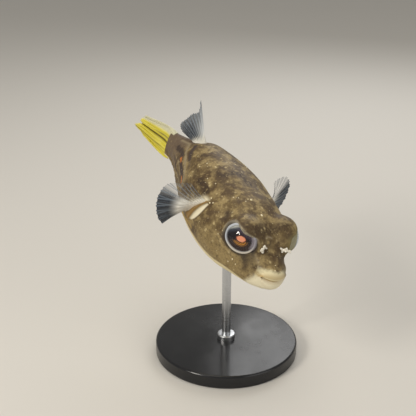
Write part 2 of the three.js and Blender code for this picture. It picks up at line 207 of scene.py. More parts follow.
def make_piece(
    name: str, points: Array, faces: list, attributes: dict[str, Array], smooth: bool = True
) -> Object:
    """Makes one mesh object that faces outwards.

    Args:
        name: Name of the piece.
        points: Vertices in metres, in the part's frame.
        faces: Vertex numbers of each face.
        attributes: Numbers or vectors kept on each vertex, by name.
        smooth: Whether its faces are shaded smooth.

    Returns:
        The new object.
    """
    mesh = bpy.data.meshes.new(name)
    mesh.from_pydata(points.tolist(), [], faces)
    corners = np.array([(f[0], f[i], f[i + 1]) for f in faces for i in range(1, len(f) - 1)])
    a, b, c = (points[corners[:, i]] - points.mean(0) for i in range(3))
    if np.einsum("ij,ij->", a, np.cross(b, c)) < 0:
        mesh.flip_normals()
    for key, values in attributes.items():
        vector = values.ndim == 2
        layer = mesh.attributes.new(key, "FLOAT_VECTOR" if vector else "FLOAT", "POINT")
        layer.data.foreach_set("vector" if vector else "value", values.astype(np.float32).ravel())
    mesh.polygons.foreach_set("use_smooth", [smooth] * len(faces))
    piece = bpy.data.objects.new(name, mesh)
    bpy.context.scene.collection.objects.link(piece)
    return piece


def hand_in(piece: Object, nodes: list[str], material: Material) -> None:
    """Gives a piece its finish and its place in the frame.

    Args:
        piece: The finished piece.
        nodes: CAD nodes that it stands for.
        material: Its material.
    """
    piece.data.materials.append(material)
    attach(piece, BODY_NAME)
    if nodes:
        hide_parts(*nodes)
    log.info("%s: %d faces", piece.name, len(piece.data.polygons))


def tube_faces(rows: int, columns: int) -> list:
    """Faces of rows of closed rings, each end closed by a fan to a hub.

    Args:
        rows: Number of rings.
        columns: Points of each ring.

    Returns:
        The faces; the hubs are the two vertices after the rings, first end first.
    """
    r, k = np.meshgrid(np.arange(rows - 1), np.arange(columns), indexing="ij")
    a, b = r * columns + k, r * columns + (k + 1) % columns
    faces = np.stack([a, b, b + columns, a + columns], -1).reshape(-1, 4).tolist()
    hub = rows * columns
    last = (rows - 1) * columns
    for i in range(columns):
        j = (i + 1) % columns
        faces.append([hub, j, i])
        faces.append([hub + 1, last + i, last + j])
    return faces


def closed_tube(rings: Array) -> tuple[Array, list]:
    """Vertices, with the two hubs at the end, and faces of a closed tube through rings."""
    hubs = np.stack([rings[0].mean(0), rings[-1].mean(0)])
    return np.concatenate([rings.reshape(-1, 3), hubs]), tube_faces(*rings.shape[:2])


# -------- pose and body


@dataclass
class Pose:
    """Where the fish hangs over the stand, and how it is turned."""

    nose_down: float = 15.7
    right_side_up: float = 11.6
    centre: Triple = (0.0, 3.0, 70.0)

    def axes(self) -> Array:
        """Rows that carry forward, left and up of the fish into the part's frame.

        Returns:
            The rows.
        """
        pitch, roll = np.radians(self.nose_down), np.radians(self.right_side_up)
        forward = np.array([0, -np.cos(pitch), -np.sin(pitch)])
        upright = np.array([0, -np.sin(pitch), np.cos(pitch)])
        level = np.array([1.0, 0, 0])
        left = level * np.cos(roll) - upright * np.sin(roll)
        up = level * np.sin(roll) + upright * np.cos(roll)
        return np.stack([forward, left, up])

    def place(self, points: Array) -> Array:
        """Carries points in millimetres from the fish's frame to the part's frame, in metres."""
        return (np.asarray(points, float) @ self.axes() + np.array(self.centre)) * METRES


@dataclass
class BodyShape:
    """The body as a smooth surface; all lengths are in millimetres.

    Each section holds its distance from the snout, the height of its centre, its reach above
    and below that, its half width, how far its sides lie behind its middle, and its squareness.
    The root of a pectoral fin runs between two places, each a distance from the snout and
    degrees above the side; the base of a median fin runs between two distances.
    """

    length: float = 100.0
    tail_bend: float = 24.2
    bend_from: float = 70.0
    bend_to: float = 102.0
    foremost: int = 3
    eye_rim: Triple = (32.8, 11.6, 7.5)
    eye_outward: Triple = (0.45, 0.88, 0.05)
    eye_depth: float = 3.6
    turret_radius: float = 8.1
    turret_root: float = 3.0
    turret_blend: float = 2.0
    smile: float = 1.0
    smile_reach: float = 5.5
    pectoral_root: tuple[Pair, Pair] = ((41.5, 27.0), (50.0, -7.0))
    dorsal_base: Pair = (79.5, 87.5)
    anal_base: Pair = (79.5, 87.0)
    lookup_steps: int = 2000
    spine_steps: int = 1200
    spine_reach: float = 60.0
    sections: tuple = (
        (1.3, -1.5, 0.12, 0.12, 5.5, 3.0, 2.0),
        (1.1, -1.5, 0.35, 0.35, 5.6, 3.0, 2.0),
        (0.7, -1.5, 0.75, 0.75, 5.75, 3.0, 2.0),
        (0.2, -1.4, 1.8, 2.0, 5.85, 3.0, 2.1),
        (0.6, -1.3, 3.4, 3.8, 6.0, 3.0, 2.2),
        (2.0, -1.3, 4.6, 5.2, 6.2, 2.8, 2.2),
        (3.8, -1.3, 5.6, 6.2, 6.6, 2.4, 2.2),
        (6.2, -1.2, 7.0, 7.4, 7.4, 1.7, 2.3),
        (9.5, -1.1, 9.1, 9.0, 8.7, 0.8, 2.4),
        (14.0, -0.9, 12.1, 10.6, 10.1, 0.2, 2.5),
        (20.0, -0.8, 15.2, 12.5, 12.5, 0.0, 2.5),
        (28.0, -0.6, 17.3, 15.4, 15.5, 0.0, 2.4),
        (38.0, -0.4, 17.9, 17.5, 17.6, 0.0, 2.2),
        (49.0, 0.1, 17.8, 17.8, 17.9, 0.0, 2.2),
        (60.0, 0.7, 16.5, 16.9, 16.3, 0.0, 2.2),
        (70.0, 1.2, 14.6, 14.9, 13.6, 0.0, 2.2),
        (79.0, 1.2, 12.4, 12.1, 11.9, 0.0, 2.1),
        (87.0, 0.9, 8.4, 9.3, 8.9, 0.0, 2.0),
        (93.5, 0.4, 6.8, 7.6, 5.7, 0.0, 2.0),
        (98.0, 0.0, 6.6, 7.1, 3.4, 0.0, 2.0),
        (100.0, -0.4, 6.7, 6.8, 2.4, 0.0, 2.0),
    )

    @property
    def last(self) -> int:
        """Number of the last section."""
        return len(self.sections) - 1

    def section(self, number: Array) -> Array:
        """Section table read at fractional section numbers."""
        return curve_through(np.array(self.sections), np.asarray(number, float).ravel())

    def number_at(self, distance: float, rise: float) -> Array:
        """Section number at a place on the body.

        Args:
            distance: Distance from the snout.
            rise: Degrees above the side, negative towards the belly.

        Returns:
            The number, with its fraction.
        """
        numbers = np.linspace(self.foremost, self.last, self.lookup_steps)
        sections = self.section(numbers)
        reached = sections[:, 0] + sections[:, 5] * np.cos(np.radians(rise)) ** 2
        return np.interp(distance, reached, numbers)

    def heading(self, distance: Array) -> Array:
        """Heading of the spine in radians to the fish's right."""
        return np.radians(self.tail_bend) * eased(self.bend_from, self.bend_to, distance)

    def spine(self, distance: Array, bent: bool = True) -> Array:
        """Points of the spine.

        Args:
            distance: Distances from the snout.
            bent: False to keep the tail straight.

        Returns:
            Points, with 3 numbers along the last axis.
        """
        distance = np.asarray(distance, float)
        steps = np.linspace(self.bend_from, self.bend_from + self.spine_reach, self.spine_steps + 1)
        angle = self.heading((steps[1:] + steps[:-1]) / 2) * bent
        x = np.concatenate([[0], -np.cumsum(np.cos(angle))]) * (steps[1] - steps[0])
        y = np.concatenate([[0], -np.cumsum(np.sin(angle))]) * (steps[1] - steps[0])
        start = self.length / 2 - np.minimum(distance, self.bend_from)
        x_there, y_there = np.interp(distance, steps, x), np.interp(distance, steps, y)
        return np.stack([start + x_there, y_there, np.zeros_like(distance)], -1)

    def back(self, distance: Array) -> Array:
        """Unit vectors straight back along the spine."""
        angle = self.heading(distance)
        return np.stack([-np.cos(angle), -np.sin(angle), np.zeros_like(angle)], -1)

    def left(self, distance: Array) -> Array:
        """Unit vectors to the fish's left of the spine."""
        angle = self.heading(distance)
        return np.stack([-np.sin(angle), np.cos(angle), np.zeros_like(angle)], -1)

    def eye_centre(self, side: Side, further: float = 0.0) -> Array:
        """Centre of an eyeball, or a point further in on the same line."""
        centre = np.array(self.eye_rim) - unit(np.array(self.eye_outward)) * (self.eye_depth + further)
        return centre * np.array([1, side.value, 1])

    def raised(self, points: Array) -> Array:
        """Carries points of the plain body outwards on to the turret of each eye.

        Args:
            points: Points in the fish's frame.

        Returns:
            The moved points.
        """
        result = points.copy()
        for side in Side:
            root = self.eye_centre(side, self.turret_root)
            reach = np.linalg.norm(points - root, axis=-1, keepdims=True)
            direction = (points - root) / reach
            half = (direction @ (self.eye_centre(side) - root))[..., None]
            turret = half + np.sqrt(half**2 + self.turret_radius**2 - self.turret_root**2)
            gap = turret - reach
            result += direction * (gap + np.hypot(gap, self.turret_blend)) / 2
        return result

    def surface(self, sections: Array, angle: Array, bent: bool = True) -> Array:
        """Points of the surface.

        Args:
            sections: Rows of the section table, one for each angle.
            angle: Angles round the body in radians, 0 on the left side and a quarter turn on the back.
            bent: False to keep the tail straight.

        Returns:
            Points, with 3 numbers along the last axis.
        """
        distance, centre, above, below, half, setback, square = np.moveaxis(sections, -1, 0)
        c, s = np.cos(angle), np.sin(angle)
        across = half * np.sign(c) * np.abs(c) ** (2 / square)
        height = centre + np.where(s > 0, above, below) * np.sign(s) * np.abs(s) ** (2 / square)
        height = height + self.smile * c * c * hill(distance, self.smile_reach)
        there = distance + setback * c * c
        points = self.spine(there, bent)
        left = self.left(there) if bent else np.array([0.0, 1.0, 0.0])
        points = points + left * across[..., None]
        points[..., 2] += height
        return self.raised(points)

    def at(self, distance: float, rise: float, side: Side, bent: bool = True) -> Array:
        """One point of the surface.

        Args:
            distance: Distance from the snout.
            rise: Degrees above the side, negative towards the belly.
            side: Side of the fish.
            bent: False to keep the tail straight.

        Returns:
            The point.
        """
        angle = np.radians(rise if side is Side.LEFT else 180 - rise)
        return self.surface(self.section(self.number_at(distance, rise)), np.array([angle]), bent)[0]


@dataclass
class EyeSocket:
    """Frame of one eye: first axis towards its lower front, second across, third outward.

    The opening and the globe are oval: lengths in this frame are scaled so that they are round.
    """

    side: Side
    body: BodyShape
    right_gaze: Triple = (0.53, 0.85, 0.03)
    left_gaze: Triple = (0.3, 0.95, 0.03)
    low: Triple = (0.325, -0.165, -0.932)
    oval: Triple = (0.94, 1.06, 1.0)

    def outward(self) -> Array:
        """Direction that the eye looks in; the left eye is turned further out than the right."""
        gaze = self.right_gaze if self.side is Side.RIGHT else self.left_gaze
        return unit(np.array(gaze) * np.array([1, self.side.value, 1]))

    def centre(self) -> Array:
        """Centre of the eyeball."""
        return self.body.eye_centre(self.side)

    def axes(self) -> Array:
        """Rows that carry the frame's axes into the fish's frame."""
        outward = self.outward()
        low = np.array(self.low) * np.array([1, self.side.value, 1])
        low = unit(low - outward * (low @ outward))
        return np.stack([low, -self.side.value * np.cross(outward, low), outward])

    def local(self, points: Array) -> Array:
        """Carries points from the fish's frame to the eye's."""
        return (points - self.centre()) @ self.axes().T / np.array(self.oval)

    def place(self, local: Array) -> Array:
        """Carries points from the eye's frame to the fish's."""
        return self.centre() + (local * np.array(self.oval)) @ self.axes()


# -------- finishes


@dataclass(frozen=True)
class PufferSkin:
    """Puffer hide: scaleless, leathery skin under a thin film of slime.

    The slime gives a soft wet gloss over a matt, mottled hide; the pattern sits in the skin,
    with painted shade in the gill gap, round the eyes and on the left of the snout, and painted
    light on the lower lip and above the right eye.
    Sizes are in millimetres.
    """

    ground: str = "#6f5c38"
    light: str = "#a08c5f"
    dark: str = "#513f27"
    blotch: str = "#38291a"
    pale_spot: str = "#cab787"
    dust: str = "#3a2c1a"
    cheek: str = "#8f7b50"
    belly: str = "#e2d3a6"
    # Golden painted shade in the gap behind the gill cover, and a golden rim along the belly edge.
    gap_shade_and_gold_rim: str = "#8a6c3a"
    lip: str = "#e6dcb6"
    mouth: str = "#b99d66"
    # Cream of the gill cover's edge and the fin's pad; on the lower lip it is painted light.
    cream: str = "#ebe2c6"
    stripe: str = "#43362f"
    line: str = "#93856a"
    orange: str = "#cc7d34"
    plum: str = "#6a5a4c"
    yellow: str = "#cda53c"
    # Painted shade in the groove round each eye's opening; also a small dark ring on the brow.
    rim: str = "#33291f"
    # Painted highlight on the skin above the right eye, and a pale line along its lid.
    brow_highlight_and_lid_line: str = "#cfc9b6"
    olive: str = "#857a4c"
    # Painted shade on the left of the snout and under the left corner of the mouth.
    grey: str = "#574a3a"
    mottle_size: float = 4.4
    blotch_size: float = 11.0
    speckle_size: float = 1.5
    spot_gap: float = 3.6
    grain_size: float = 0.7
    dust_gap: float = 0.8
    pore_size: float = 0.55
    wrinkle_size: float = 2.2
    pore_depth: float = 0.08
    wrinkle_depth: float = 0.35
    roughness: Pair = (0.54, 0.72)
    slime: float = 0.1

    def noises(self, tree: NodeTree, where: NodeSocket) -> dict:
        """Noise patterns of the hide, each at its own real size.

        Args:
            tree: Node tree.
            where: Place on the fish in millimetres.

        Returns:
            Noise sockets by name.
        """
        return {
            name: add_node(
                tree, "ShaderNodeTexNoise",
                {"Scale": 1 / size, "Detail": detail, "Roughness": rough, "Distortion": bend},
                {"Vector": where},
            ).outputs["Fac"]
            for name, size, detail, rough, bend in (
                ("mottle", self.mottle_size, 3.5, 0.55, 0.35),
                ("blotch", self.blotch_size, 3.0, 0.55, 0.3),
                ("speckle", self.speckle_size, 3.0, 0.6, 0.3),
                ("grain", self.grain_size, 3.0, 0.6, 0.0),
                ("pores", self.pore_size, 2.0, 0.6, 0.0),
                ("wrinkle", self.wrinkle_size, 3.0, 0.6, 0.8),
            )
        }

    def shares(self, tree: NodeTree, where: NodeSocket, noises: dict) -> dict:
        """Where the mottling, spots and dust of the hide lie.

        Args:
            tree: Node tree.
            where: Place on the fish in millimetres.
            noises: Noise patterns by name.

        Returns:
            Masks by name.
        """
        spots, dust = (
            add_node(
                tree, "ShaderNodeTexVoronoi", {"Scale": 1 / gap, "Randomness": jitter}, {"Vector": where}
            ).outputs["Distance"]
            for gap, jitter in ((self.spot_gap, 0.9), (self.dust_gap, 1.0))
        )
        return {
            name: add_node(
                tree, "ShaderNodeMapRange",
                {**SMOOTH, 1: low, 2: high, 3: start, 4: end},
                {"Value": source},
            ).outputs[0]
            for name, source, low, high, start, end in (
                ("light", noises["mottle"], 0.46, 0.66, 0.0, 0.95),
                ("dark", noises["mottle"], 0.34, 0.52, 0.95, 0.0),
                ("blotch", noises["blotch"], 0.38, 0.55, 0.75, 0.0),
                ("bright", noises["speckle"], 0.53, 0.68, 0.0, 0.55),
                ("dim", noises["speckle"], 0.33, 0.47, 0.6, 0.0),
                ("grain", noises["grain"], 0.35, 0.65, 0.3, 0.0),
                ("spot", spots, 0.05, 0.24, 0.8, 0.0),
                ("dust", dust, 0.12, 0.28, 0.6, 0.0),
                ("spot_share", noises["mottle"], 0.42, 0.56, 0.15, 1.0),
            )
        }

    def ragged(self, tree: NodeTree, masks: dict, noise: NodeSocket) -> dict:
        """Masks of the markings that have a ragged edge.

        Args:
            tree: Node tree.
            masks: Smooth masks of all markings, by name.
            noise: Noise that breaks up the edges.

        Returns:
            Ragged masks by name.
        """
        result = {}
        for name, amount in (
            ("belly", 0.5), ("cheek", 0.5), ("lip", 0.75), ("stripe", 0.6), ("blotches", 0.9), ("pale", 0.8),
            ("plum", 0.6),
        ):
            moved = add_node(
                tree, "ShaderNodeMath", {"operation": "MULTIPLY_ADD", 1: amount, 2: -amount / 2}, {0: noise}
            ).outputs[0]
            total = add_node(tree, "ShaderNodeMath", {"operation": "ADD"}, {0: masks[name], 1: moved})
            result[name] = add_node(
                tree, "ShaderNodeMapRange", {**SMOOTH, 1: 0.15, 2: 0.85},
                {"Value": total.outputs[0]},
            ).outputs[0]
        return result

    def build(self) -> Material:
        """Makes the material.

        Returns:
            The material.
        """
        material, tree = new_material("puffer_hide_under_slime")
        where = add_node(tree, "ShaderNodeAttribute", {"attribute_name": "fish_mm"}, {}).outputs["Vector"]
        smooth = {
            name: add_node(tree, "ShaderNodeAttribute", {"attribute_name": name}, {}).outputs["Fac"]
            for name in Skin.MASKS
        }
        noises = self.noises(tree, where)
        share = self.shares(tree, where, noises)
        ragged = self.ragged(tree, smooth, noises["wrinkle"])
        spot, dust = (
            add_node(tree, "ShaderNodeMath", {"operation": "MULTIPLY"}, {0: first, 1: second}).outputs[0]
            for first, second in ((share["spot"], share["spot_share"]), (share["dust"], smooth["dusted"]))
        )
        coats = [
            (share["blotch"], self.dark), (share["dark"], self.dark), (share["light"], self.light),
            (ragged["cheek"], self.cheek), (ragged["pale"], self.light),
            (ragged["blotches"], self.blotch), (share["dim"], self.dark), (share["bright"], self.light),
            (ragged["plum"], self.plum), (spot, self.pale_spot), (dust, self.dust),
            (share["grain"], self.dark), (ragged["stripe"], self.stripe), (smooth["brow_highlight_and_lid_line"], self.brow_highlight_and_lid_line),
            (smooth["olive"], self.olive), (smooth["gap_shade_and_gold_rim"], self.gap_shade_and_gold_rim), (ragged["belly"], self.belly),
            (smooth["line"], self.line), (smooth["yellow"], self.yellow), (smooth["orange"], self.orange),
            (ragged["lip"], self.lip), (smooth["mouth"], self.mouth), (smooth["grey"], self.grey),
            (smooth["cream"], self.cream), (smooth["rim"], self.rim),
        ]
        colour = painted(tree, self.ground, coats)
        gloss = add_node(
            tree, "ShaderNodeMapRange", {1: 0.3, 2: 0.7, 3: self.roughness[0], 4: self.roughness[1]},
            {"Value": noises["wrinkle"]},
        )
        coarse = add_node(
            tree, "ShaderNodeBump", {"Strength": 0.55, "Distance": self.wrinkle_depth * METRES},
            {"Height": noises["wrinkle"]},
        )
        fine = add_node(
            tree, "ShaderNodeBump", {"Strength": 0.5, "Distance": self.pore_depth * METRES},
            {"Height": noises["pores"], "Normal": coarse.outputs[0]},
        )
        hide = add_node(
            tree, "ShaderNodeBsdfPrincipled",
            {"IOR": 1.4, "Coat Weight": self.slime, "Coat Roughness": 0.22, "Coat IOR": 1.34},
            {"Base Color": colour, "Roughness": gloss.outputs[0], "Normal": fine.outputs[0]},
        )
        add_node(tree, "ShaderNodeOutputMaterial", {}, {"Surface": hide.outputs[0]})
        return material


@dataclass(frozen=True)
class FinSkin:
    """Fin web: two layers of clear skin over bony rays.

    The web is smoky and lets the ground show through, the rays catch the light and turn solid
    and white towards the root, and fine streaks run along them.
    """

    name: str
    web: str
    ray: str
    root: str
    milk: str
    web_solid: float
    ray_solid: float
    root_from: float
    root_to: float
    web_clearing: float = 0.9
    ray_clearing: float = 0.55
    streak_depth: float = 0.05

    def build(self) -> Material:
        """Makes the material.

        Returns:
            The material.
        """
        material, tree = new_material(self.name)
        ray, reach, clear, milky = (
            add_node(tree, "ShaderNodeAttribute", {"attribute_name": name}, {}).outputs["Fac"]
            for name in ("ray", "reach", "clear", "milky")
        )
        where = add_node(tree, "ShaderNodeAttribute", {"attribute_name": "fin_mm"}, {}).outputs["Vector"]
        streaks = add_node(
            tree, "ShaderNodeTexNoise", {"Scale": 2.5, "Detail": 3.0, "Roughness": 0.6}, {"Vector": where}
        ).outputs["Fac"]
        frayed = add_node(
            tree, "ShaderNodeMath", {"operation": "MULTIPLY_ADD", 1: -0.3}, {0: streaks, 2: reach}
        ).outputs[0]
        held = add_node(
            tree, "ShaderNodeMath", {"operation": "MULTIPLY_ADD", 1: -0.12}, {0: ray, 2: frayed}
        ).outputs[0]
        rooted = add_node(
            tree, "ShaderNodeMapRange",
            {**SMOOTH, 1: self.root_from, 2: self.root_to, 3: 1.0, 4: 0.0},
            {"Value": held},
        ).outputs[0]
        shade = add_node(tree, "ShaderNodeMapRange", {1: 0.4, 2: 0.7, 3: 0.0, 4: 0.3}, {"Value": streaks})
        colour = painted(
            tree,
            self.web,
            [(shade.outputs[0], self.ray), (ray, self.ray), (milky, self.milk), (rooted, self.root)],
        )
        ends = {
            socket: add_node(
                tree, "ShaderNodeMath", {"operation": "MULTIPLY_ADD", 1: -share * full, 2: full}, {0: clear}
            ).outputs[0]
            for socket, share, full in (
                (3, self.web_clearing, self.web_solid),
                (4, self.ray_clearing, self.ray_solid),
            )
        }
        see = add_node(tree, "ShaderNodeMapRange", {}, {"Value": ray, **ends})
        solid = add_node(tree, "ShaderNodeMath", {"operation": "MAXIMUM"}, {0: see.outputs[0], 1: rooted})
        bump = add_node(
            tree, "ShaderNodeBump", {"Strength": 0.4, "Distance": self.streak_depth * METRES},
            {"Height": streaks},
        )
        skin = add_node(
            tree, "ShaderNodeBsdfPrincipled",
            {"Roughness": 0.38, "IOR": 1.4, "Coat Weight": 0.15, "Coat Roughness": 0.2},
            {"Base Color": colour, "Alpha": solid.outputs[0], "Normal": bump.outputs[0]},
        )
        add_node(tree, "ShaderNodeOutputMaterial", {}, {"Surface": skin.outputs[0]})
        return material


@dataclass(frozen=True)
class TailSkin:
    """Tail web: opaque yellow skin, folded, with a whitish upper edge and brown painted shade in the folds
    between the rays.
    """

    yellow: str = "#d9cb34"
    deep: str = "#b3a624"
    white: str = "#cfcdb4"
    # Painted shade in the folds between bundles of rays.
    brown: str = "#43350f"
    ray: str = "#e4da6a"
    streak_depth: float = 0.06

    def build(self) -> Material:
        """Makes the material.

        Returns:
            The material.
        """
        material, tree = new_material("tail_web_pigmented_skin")
        mask = {
            name: add_node(tree, "ShaderNodeAttribute", {"attribute_name": name}, {}).outputs["Fac"]
            for name in ("ray", "white", "brown")
        }
        where = add_node(tree, "ShaderNodeAttribute", {"attribute_name": "fin_mm"}, {}).outputs["Vector"]
        streaks = add_node(
            tree, "ShaderNodeTexNoise", {"Scale": 2.0, "Detail": 3.0, "Roughness": 0.6}, {"Vector": where}
        ).outputs["Fac"]
        shade = add_node(tree, "ShaderNodeMapRange", {1: 0.4, 2: 0.62, 3: 0.0, 4: 0.8}, {"Value": streaks})
        half_ray = add_node(tree, "ShaderNodeMath", {"operation": "MULTIPLY", 1: 0.55}, {0: mask["ray"]})
        coats = [
            (shade.outputs[0], self.deep), (half_ray.outputs[0], self.ray), (mask["brown"], self.brown),
            (mask["white"], self.white),
        ]
        colour = painted(tree, self.yellow, coats)
        bump = add_node(
            tree, "ShaderNodeBump", {"Strength": 0.5, "Distance": self.streak_depth * METRES},
            {"Height": streaks},
        )
        skin = add_node(
            tree, "ShaderNodeBsdfPrincipled",
            {"Roughness": 0.42, "IOR": 1.4, "Coat Weight": 0.15, "Coat Roughness": 0.22},
            {"Base Color": colour, "Normal": bump.outputs[0]},
        )
        add_node(tree, "ShaderNodeOutputMaterial", {}, {"Surface": skin.outputs[0]})
        return material


@dataclass(frozen=True)
class EyeInside:
    """Inside of the eye: dark iris with amber arcs under a pupil with a painted orange reflection, in a pale
    ring.

    The ring is smooth and bluish white like porcelain, and turns creamy below; towards the snout a
    misty violet zone lies between iris and ring.
    Places are in millimetres in the eye's own frame: x down to its lower front, y towards the snout.
    """

    # Painted reflection of light from the back of the eye: an orange glow in the pupil, with a red-brown
    # edge.
    pupil_reflection: str = "#f7a077"
    pupil_reflection_edge: str = "#8a3a20"
    amber: str = "#d9901f"
    warm: str = "#280e05"
    iris: str = "#130b10"
    violet: str = "#5d4c5c"
    haze: str = "#4a4f58"
    mist: str = "#8a8085"
    ring: str = "#d3d4d6"
    ring_low: str = "#d9ccb8"
    crescent: str = "#d6d4c8"
    # Painted shade in the groove just outside the ring, away from the snout and the top.
    groove: str = "#2c241e"
    pupil_reflection_centre: Triple = (-0.2, 0.5, 0.0)
    pupil_reflection_half: Triple = (1.35, 1.9, 1.0)
    pupil_reflection_tilt: float = -8.0

    def distances(self, tree: NodeTree) -> dict:
        """Distances on the iris, as seen from straight in front of the eye.

        Args:
            tree: Node tree.

        Returns:
            Sockets by name: how far out, how far in each named direction, and how far from the
            painted pupil reflection in widths of it. Those that end in _uneven have a wavering edge.
        """
        where = add_node(tree, "ShaderNodeAttribute", {"attribute_name": "eye_mm"}, {}).outputs["Vector"]
        flat = add_node(
            tree, "ShaderNodeVectorMath", {"operation": "MULTIPLY", 1: (1, 1, 0)}, {0: where}
        ).outputs[0]
        oval = add_node(
            tree,
            "ShaderNodeMapping",
            {
                "vector_type": "TEXTURE",
                "Location": self.pupil_reflection_centre,
                "Rotation": (0, 0, float(np.radians(self.pupil_reflection_tilt))),
                "Scale": self.pupil_reflection_half,
            },
            {"Vector": flat},
        ).outputs[0]
        result = {
            name: add_node(
                tree, "ShaderNodeVectorMath", {"operation": "LENGTH"}, {0: source}
            ).outputs["Value"]
            for name, source in (("out", flat), ("from_pupil_reflection", oval))
        }
        for name, direction in (
            ("down", (1, 0, 0)),
            ("snoutward", (-0.25, 0.97, 0)),
            ("up_and_back", (-0.93, -0.37, 0)),
            ("lidward", (-0.84, 0.54, 0)),
        ):
            result[name] = add_node(
                tree, "ShaderNodeVectorMath", {"operation": "DOT_PRODUCT", 1: direction}, {0: flat}
            ).outputs["Value"]
        flecks = add_node(
            tree, "ShaderNodeTexNoise",
            {"Scale": 1.1, "Detail": 3.0, "Roughness": 0.65, "Distortion": 0.6}, {"Vector": where},
        ).outputs["Fac"]
        for name, amount in (("from_pupil_reflection", 0.4), ("out", 0.5)):
            wobble = add_node(
                tree, "ShaderNodeMath", {"operation": "MULTIPLY_ADD", 1: amount, 2: -amount / 2}, {0: flecks},
            )
            result[name + "_uneven"] = add_node(
                tree, "ShaderNodeMath", {"operation": "ADD"}, {0: result[name], 1: wobble.outputs[0]}
            ).outputs[0]
        turns = add_node(tree, "ShaderNodeMath", {"operation": "MULTIPLY", 1: 8.0}, {0: result["out_uneven"]})
        waves = add_node(tree, "ShaderNodeMath", {"operation": "SINE"}, {0: turns.outputs[0]})
        return result | {"waves": waves.outputs[0]}

    def bands(self, tree: NodeTree, far: dict) -> dict:
        """Soft-edged zones of the iris and the ring.

        Args:
            tree: Node tree.
            far: Distances by name.

        Returns:
            Masks by name.
        """
        result = {
            name: add_node(
                tree, "ShaderNodeMapRange",
                {**SMOOTH, 1: start, 2: end, 3: low, 4: high},
                {"Value": far[source]},
            ).outputs[0]
            for name, source, start, end, low, high in (
                ("beyond_pupil_reflection", "from_pupil_reflection_uneven", 0.82, 1.02, 0.0, 1.0),
                ("beyond_edge", "from_pupil_reflection_uneven", 0.95, 1.15, 0.0, 1.0),
                ("beyond_pupil", "out_uneven", 1.3, 1.8, 0.0, 1.0),
                ("within_amber", "out_uneven", 2.6, 3.7, 1.0, 0.0),
                ("below", "down", 0.5, 1.5, 0.0, 1.0),
                ("arcs", "waves", -0.7, 0.7, 0.1, 0.9),
                ("warm", "down", 0.2, 2.6, 0.0, 0.9),
                ("haze", "up_and_back", 2.8, 4.8, 0.0, 0.75),
                ("violet", "lidward", 1.2, 4.2, 0.0, 0.75),
                ("outside_iris", "out_uneven", 4.4, 5.1, 0.0, 1.0),
                ("snoutward", "snoutward", 1.5, 4.2, 0.0, 1.0),
                ("behind", "snoutward", 3.5, 5.5, 1.0, 0.0),
                ("lower", "down", -5.0, -2.0, 0.0, 1.0),
                ("crescent", "up_and_back", 4.3, 5.6, 0.0, 0.9),
                ("ring_start", "snoutward", 1.0, 5.5, 6.0, 6.2),
                ("low_ring", "down", 1.0, 4.5, 0.0, 1.0),
                ("near_snout", "snoutward", 2.6, 5.6, 0.0, 0.85),
                ("outside_ring", "out", 6.35, 6.6, 0.0, 1.0),
            )
        }
        past_start = add_node(
            tree, "ShaderNodeMath", {"operation": "SUBTRACT"}, {0: far["out"], 1: result["ring_start"]}
        ).outputs[0]
        result["ring"] = add_node(
            tree, "ShaderNodeMapRange", {**SMOOTH, 1: -0.5, 2: 0.2},
            {"Value": past_start},
        ).outputs[0]
        return result

    def build(self) -> Material:
        """Makes the material.

        Returns:
            The material.
        """
        material, tree = new_material("eye_iris_and_ring")
        bands = self.bands(tree, self.distances(tree))
        shared = {}
        for name, factors in (
            ("warm", ("warm", "beyond_edge")),
            ("amber", ("beyond_edge", "beyond_pupil", "within_amber", "below", "arcs")),
            ("violet", ("violet", "beyond_edge")),
            ("mist", ("outside_iris", "snoutward")),
            ("low_ring", ("ring", "low_ring")),
            ("misty_ring", ("ring", "near_snout")),
            ("groove", ("outside_ring", "behind", "lower")),
        ):
            total = bands[factors[0]]
            for other in factors[1:]:
                total = add_node(
                    tree, "ShaderNodeMath", {"operation": "MULTIPLY"}, {0: total, 1: bands[other]}
                ).outputs[0]
            shared[name] = total
        coats = [
            (bands["beyond_pupil_reflection"], self.pupil_reflection_edge), (bands["beyond_edge"], self.iris),
            (shared["warm"], self.warm), (shared["amber"], self.amber), (shared["violet"], self.violet),
            (bands["haze"], self.haze), (shared["mist"], self.mist), (bands["crescent"], self.crescent),
            (bands["ring"], self.ring), (shared["low_ring"], self.ring_low),
            (shared["misty_ring"], self.mist), (shared["groove"], self.groove),
        ]
        colour = painted(tree, self.pupil_reflection, coats)
        globe = add_node(
            tree, "ShaderNodeBsdfPrincipled", {"Roughness": 0.5, "IOR": 1.36, "Specular IOR Level": 0.25},
            {"Base Color": colour},
        )
        add_node(tree, "ShaderNodeOutputMaterial", {}, {"Surface": globe.outputs[0]})
        return material


@dataclass(frozen=True)
class ClearCornea:
    """Cornea: clear, wet and perfectly smooth, so its middle shows only as highlights.

    Where it is milky it scatters light: olive at its edge, and inside that a faint blue that is a painted
    reflection.
    """

    tint: str = "#f8fbff"
    gloss: float = 0.045
    polish: float = 0.04
    # Faint blue painted reflection on the milky part of the cornea.
    haze: str = "#8296a8"
    edge: str = "#8b8560"

    def build(self) -> Material:
        """Makes the material.

        Returns:
            The material.
        """
        material, tree = new_material("cornea_clear_wet")
        milky, olive = (
            add_node(tree, "ShaderNodeAttribute", {"attribute_name": name}, {}).outputs["Fac"]
            for name in ("milky", "olive")
        )
        colour = painted(tree, self.haze, [(olive, self.edge)])
        through = add_node(tree, "ShaderNodeBsdfTransparent", {"Color": linear(self.tint)}, {})
        haze = add_node(tree, "ShaderNodeBsdfDiffuse", {}, {"Color": colour})
        body = add_node(
            tree, "ShaderNodeMixShader", {}, {0: milky, 1: through.outputs[0], 2: haze.outputs[0]}
        )
        mirror = add_node(tree, "ShaderNodeBsdfGlossy", {"Roughness": self.polish}, {})
        both = add_node(
            tree, "ShaderNodeMixShader", {0: self.gloss}, {1: body.outputs[0], 2: mirror.outputs[0]}
        )
        add_node(tree, "ShaderNodeOutputMaterial", {}, {"Surface": both.outputs[0]})
        return material


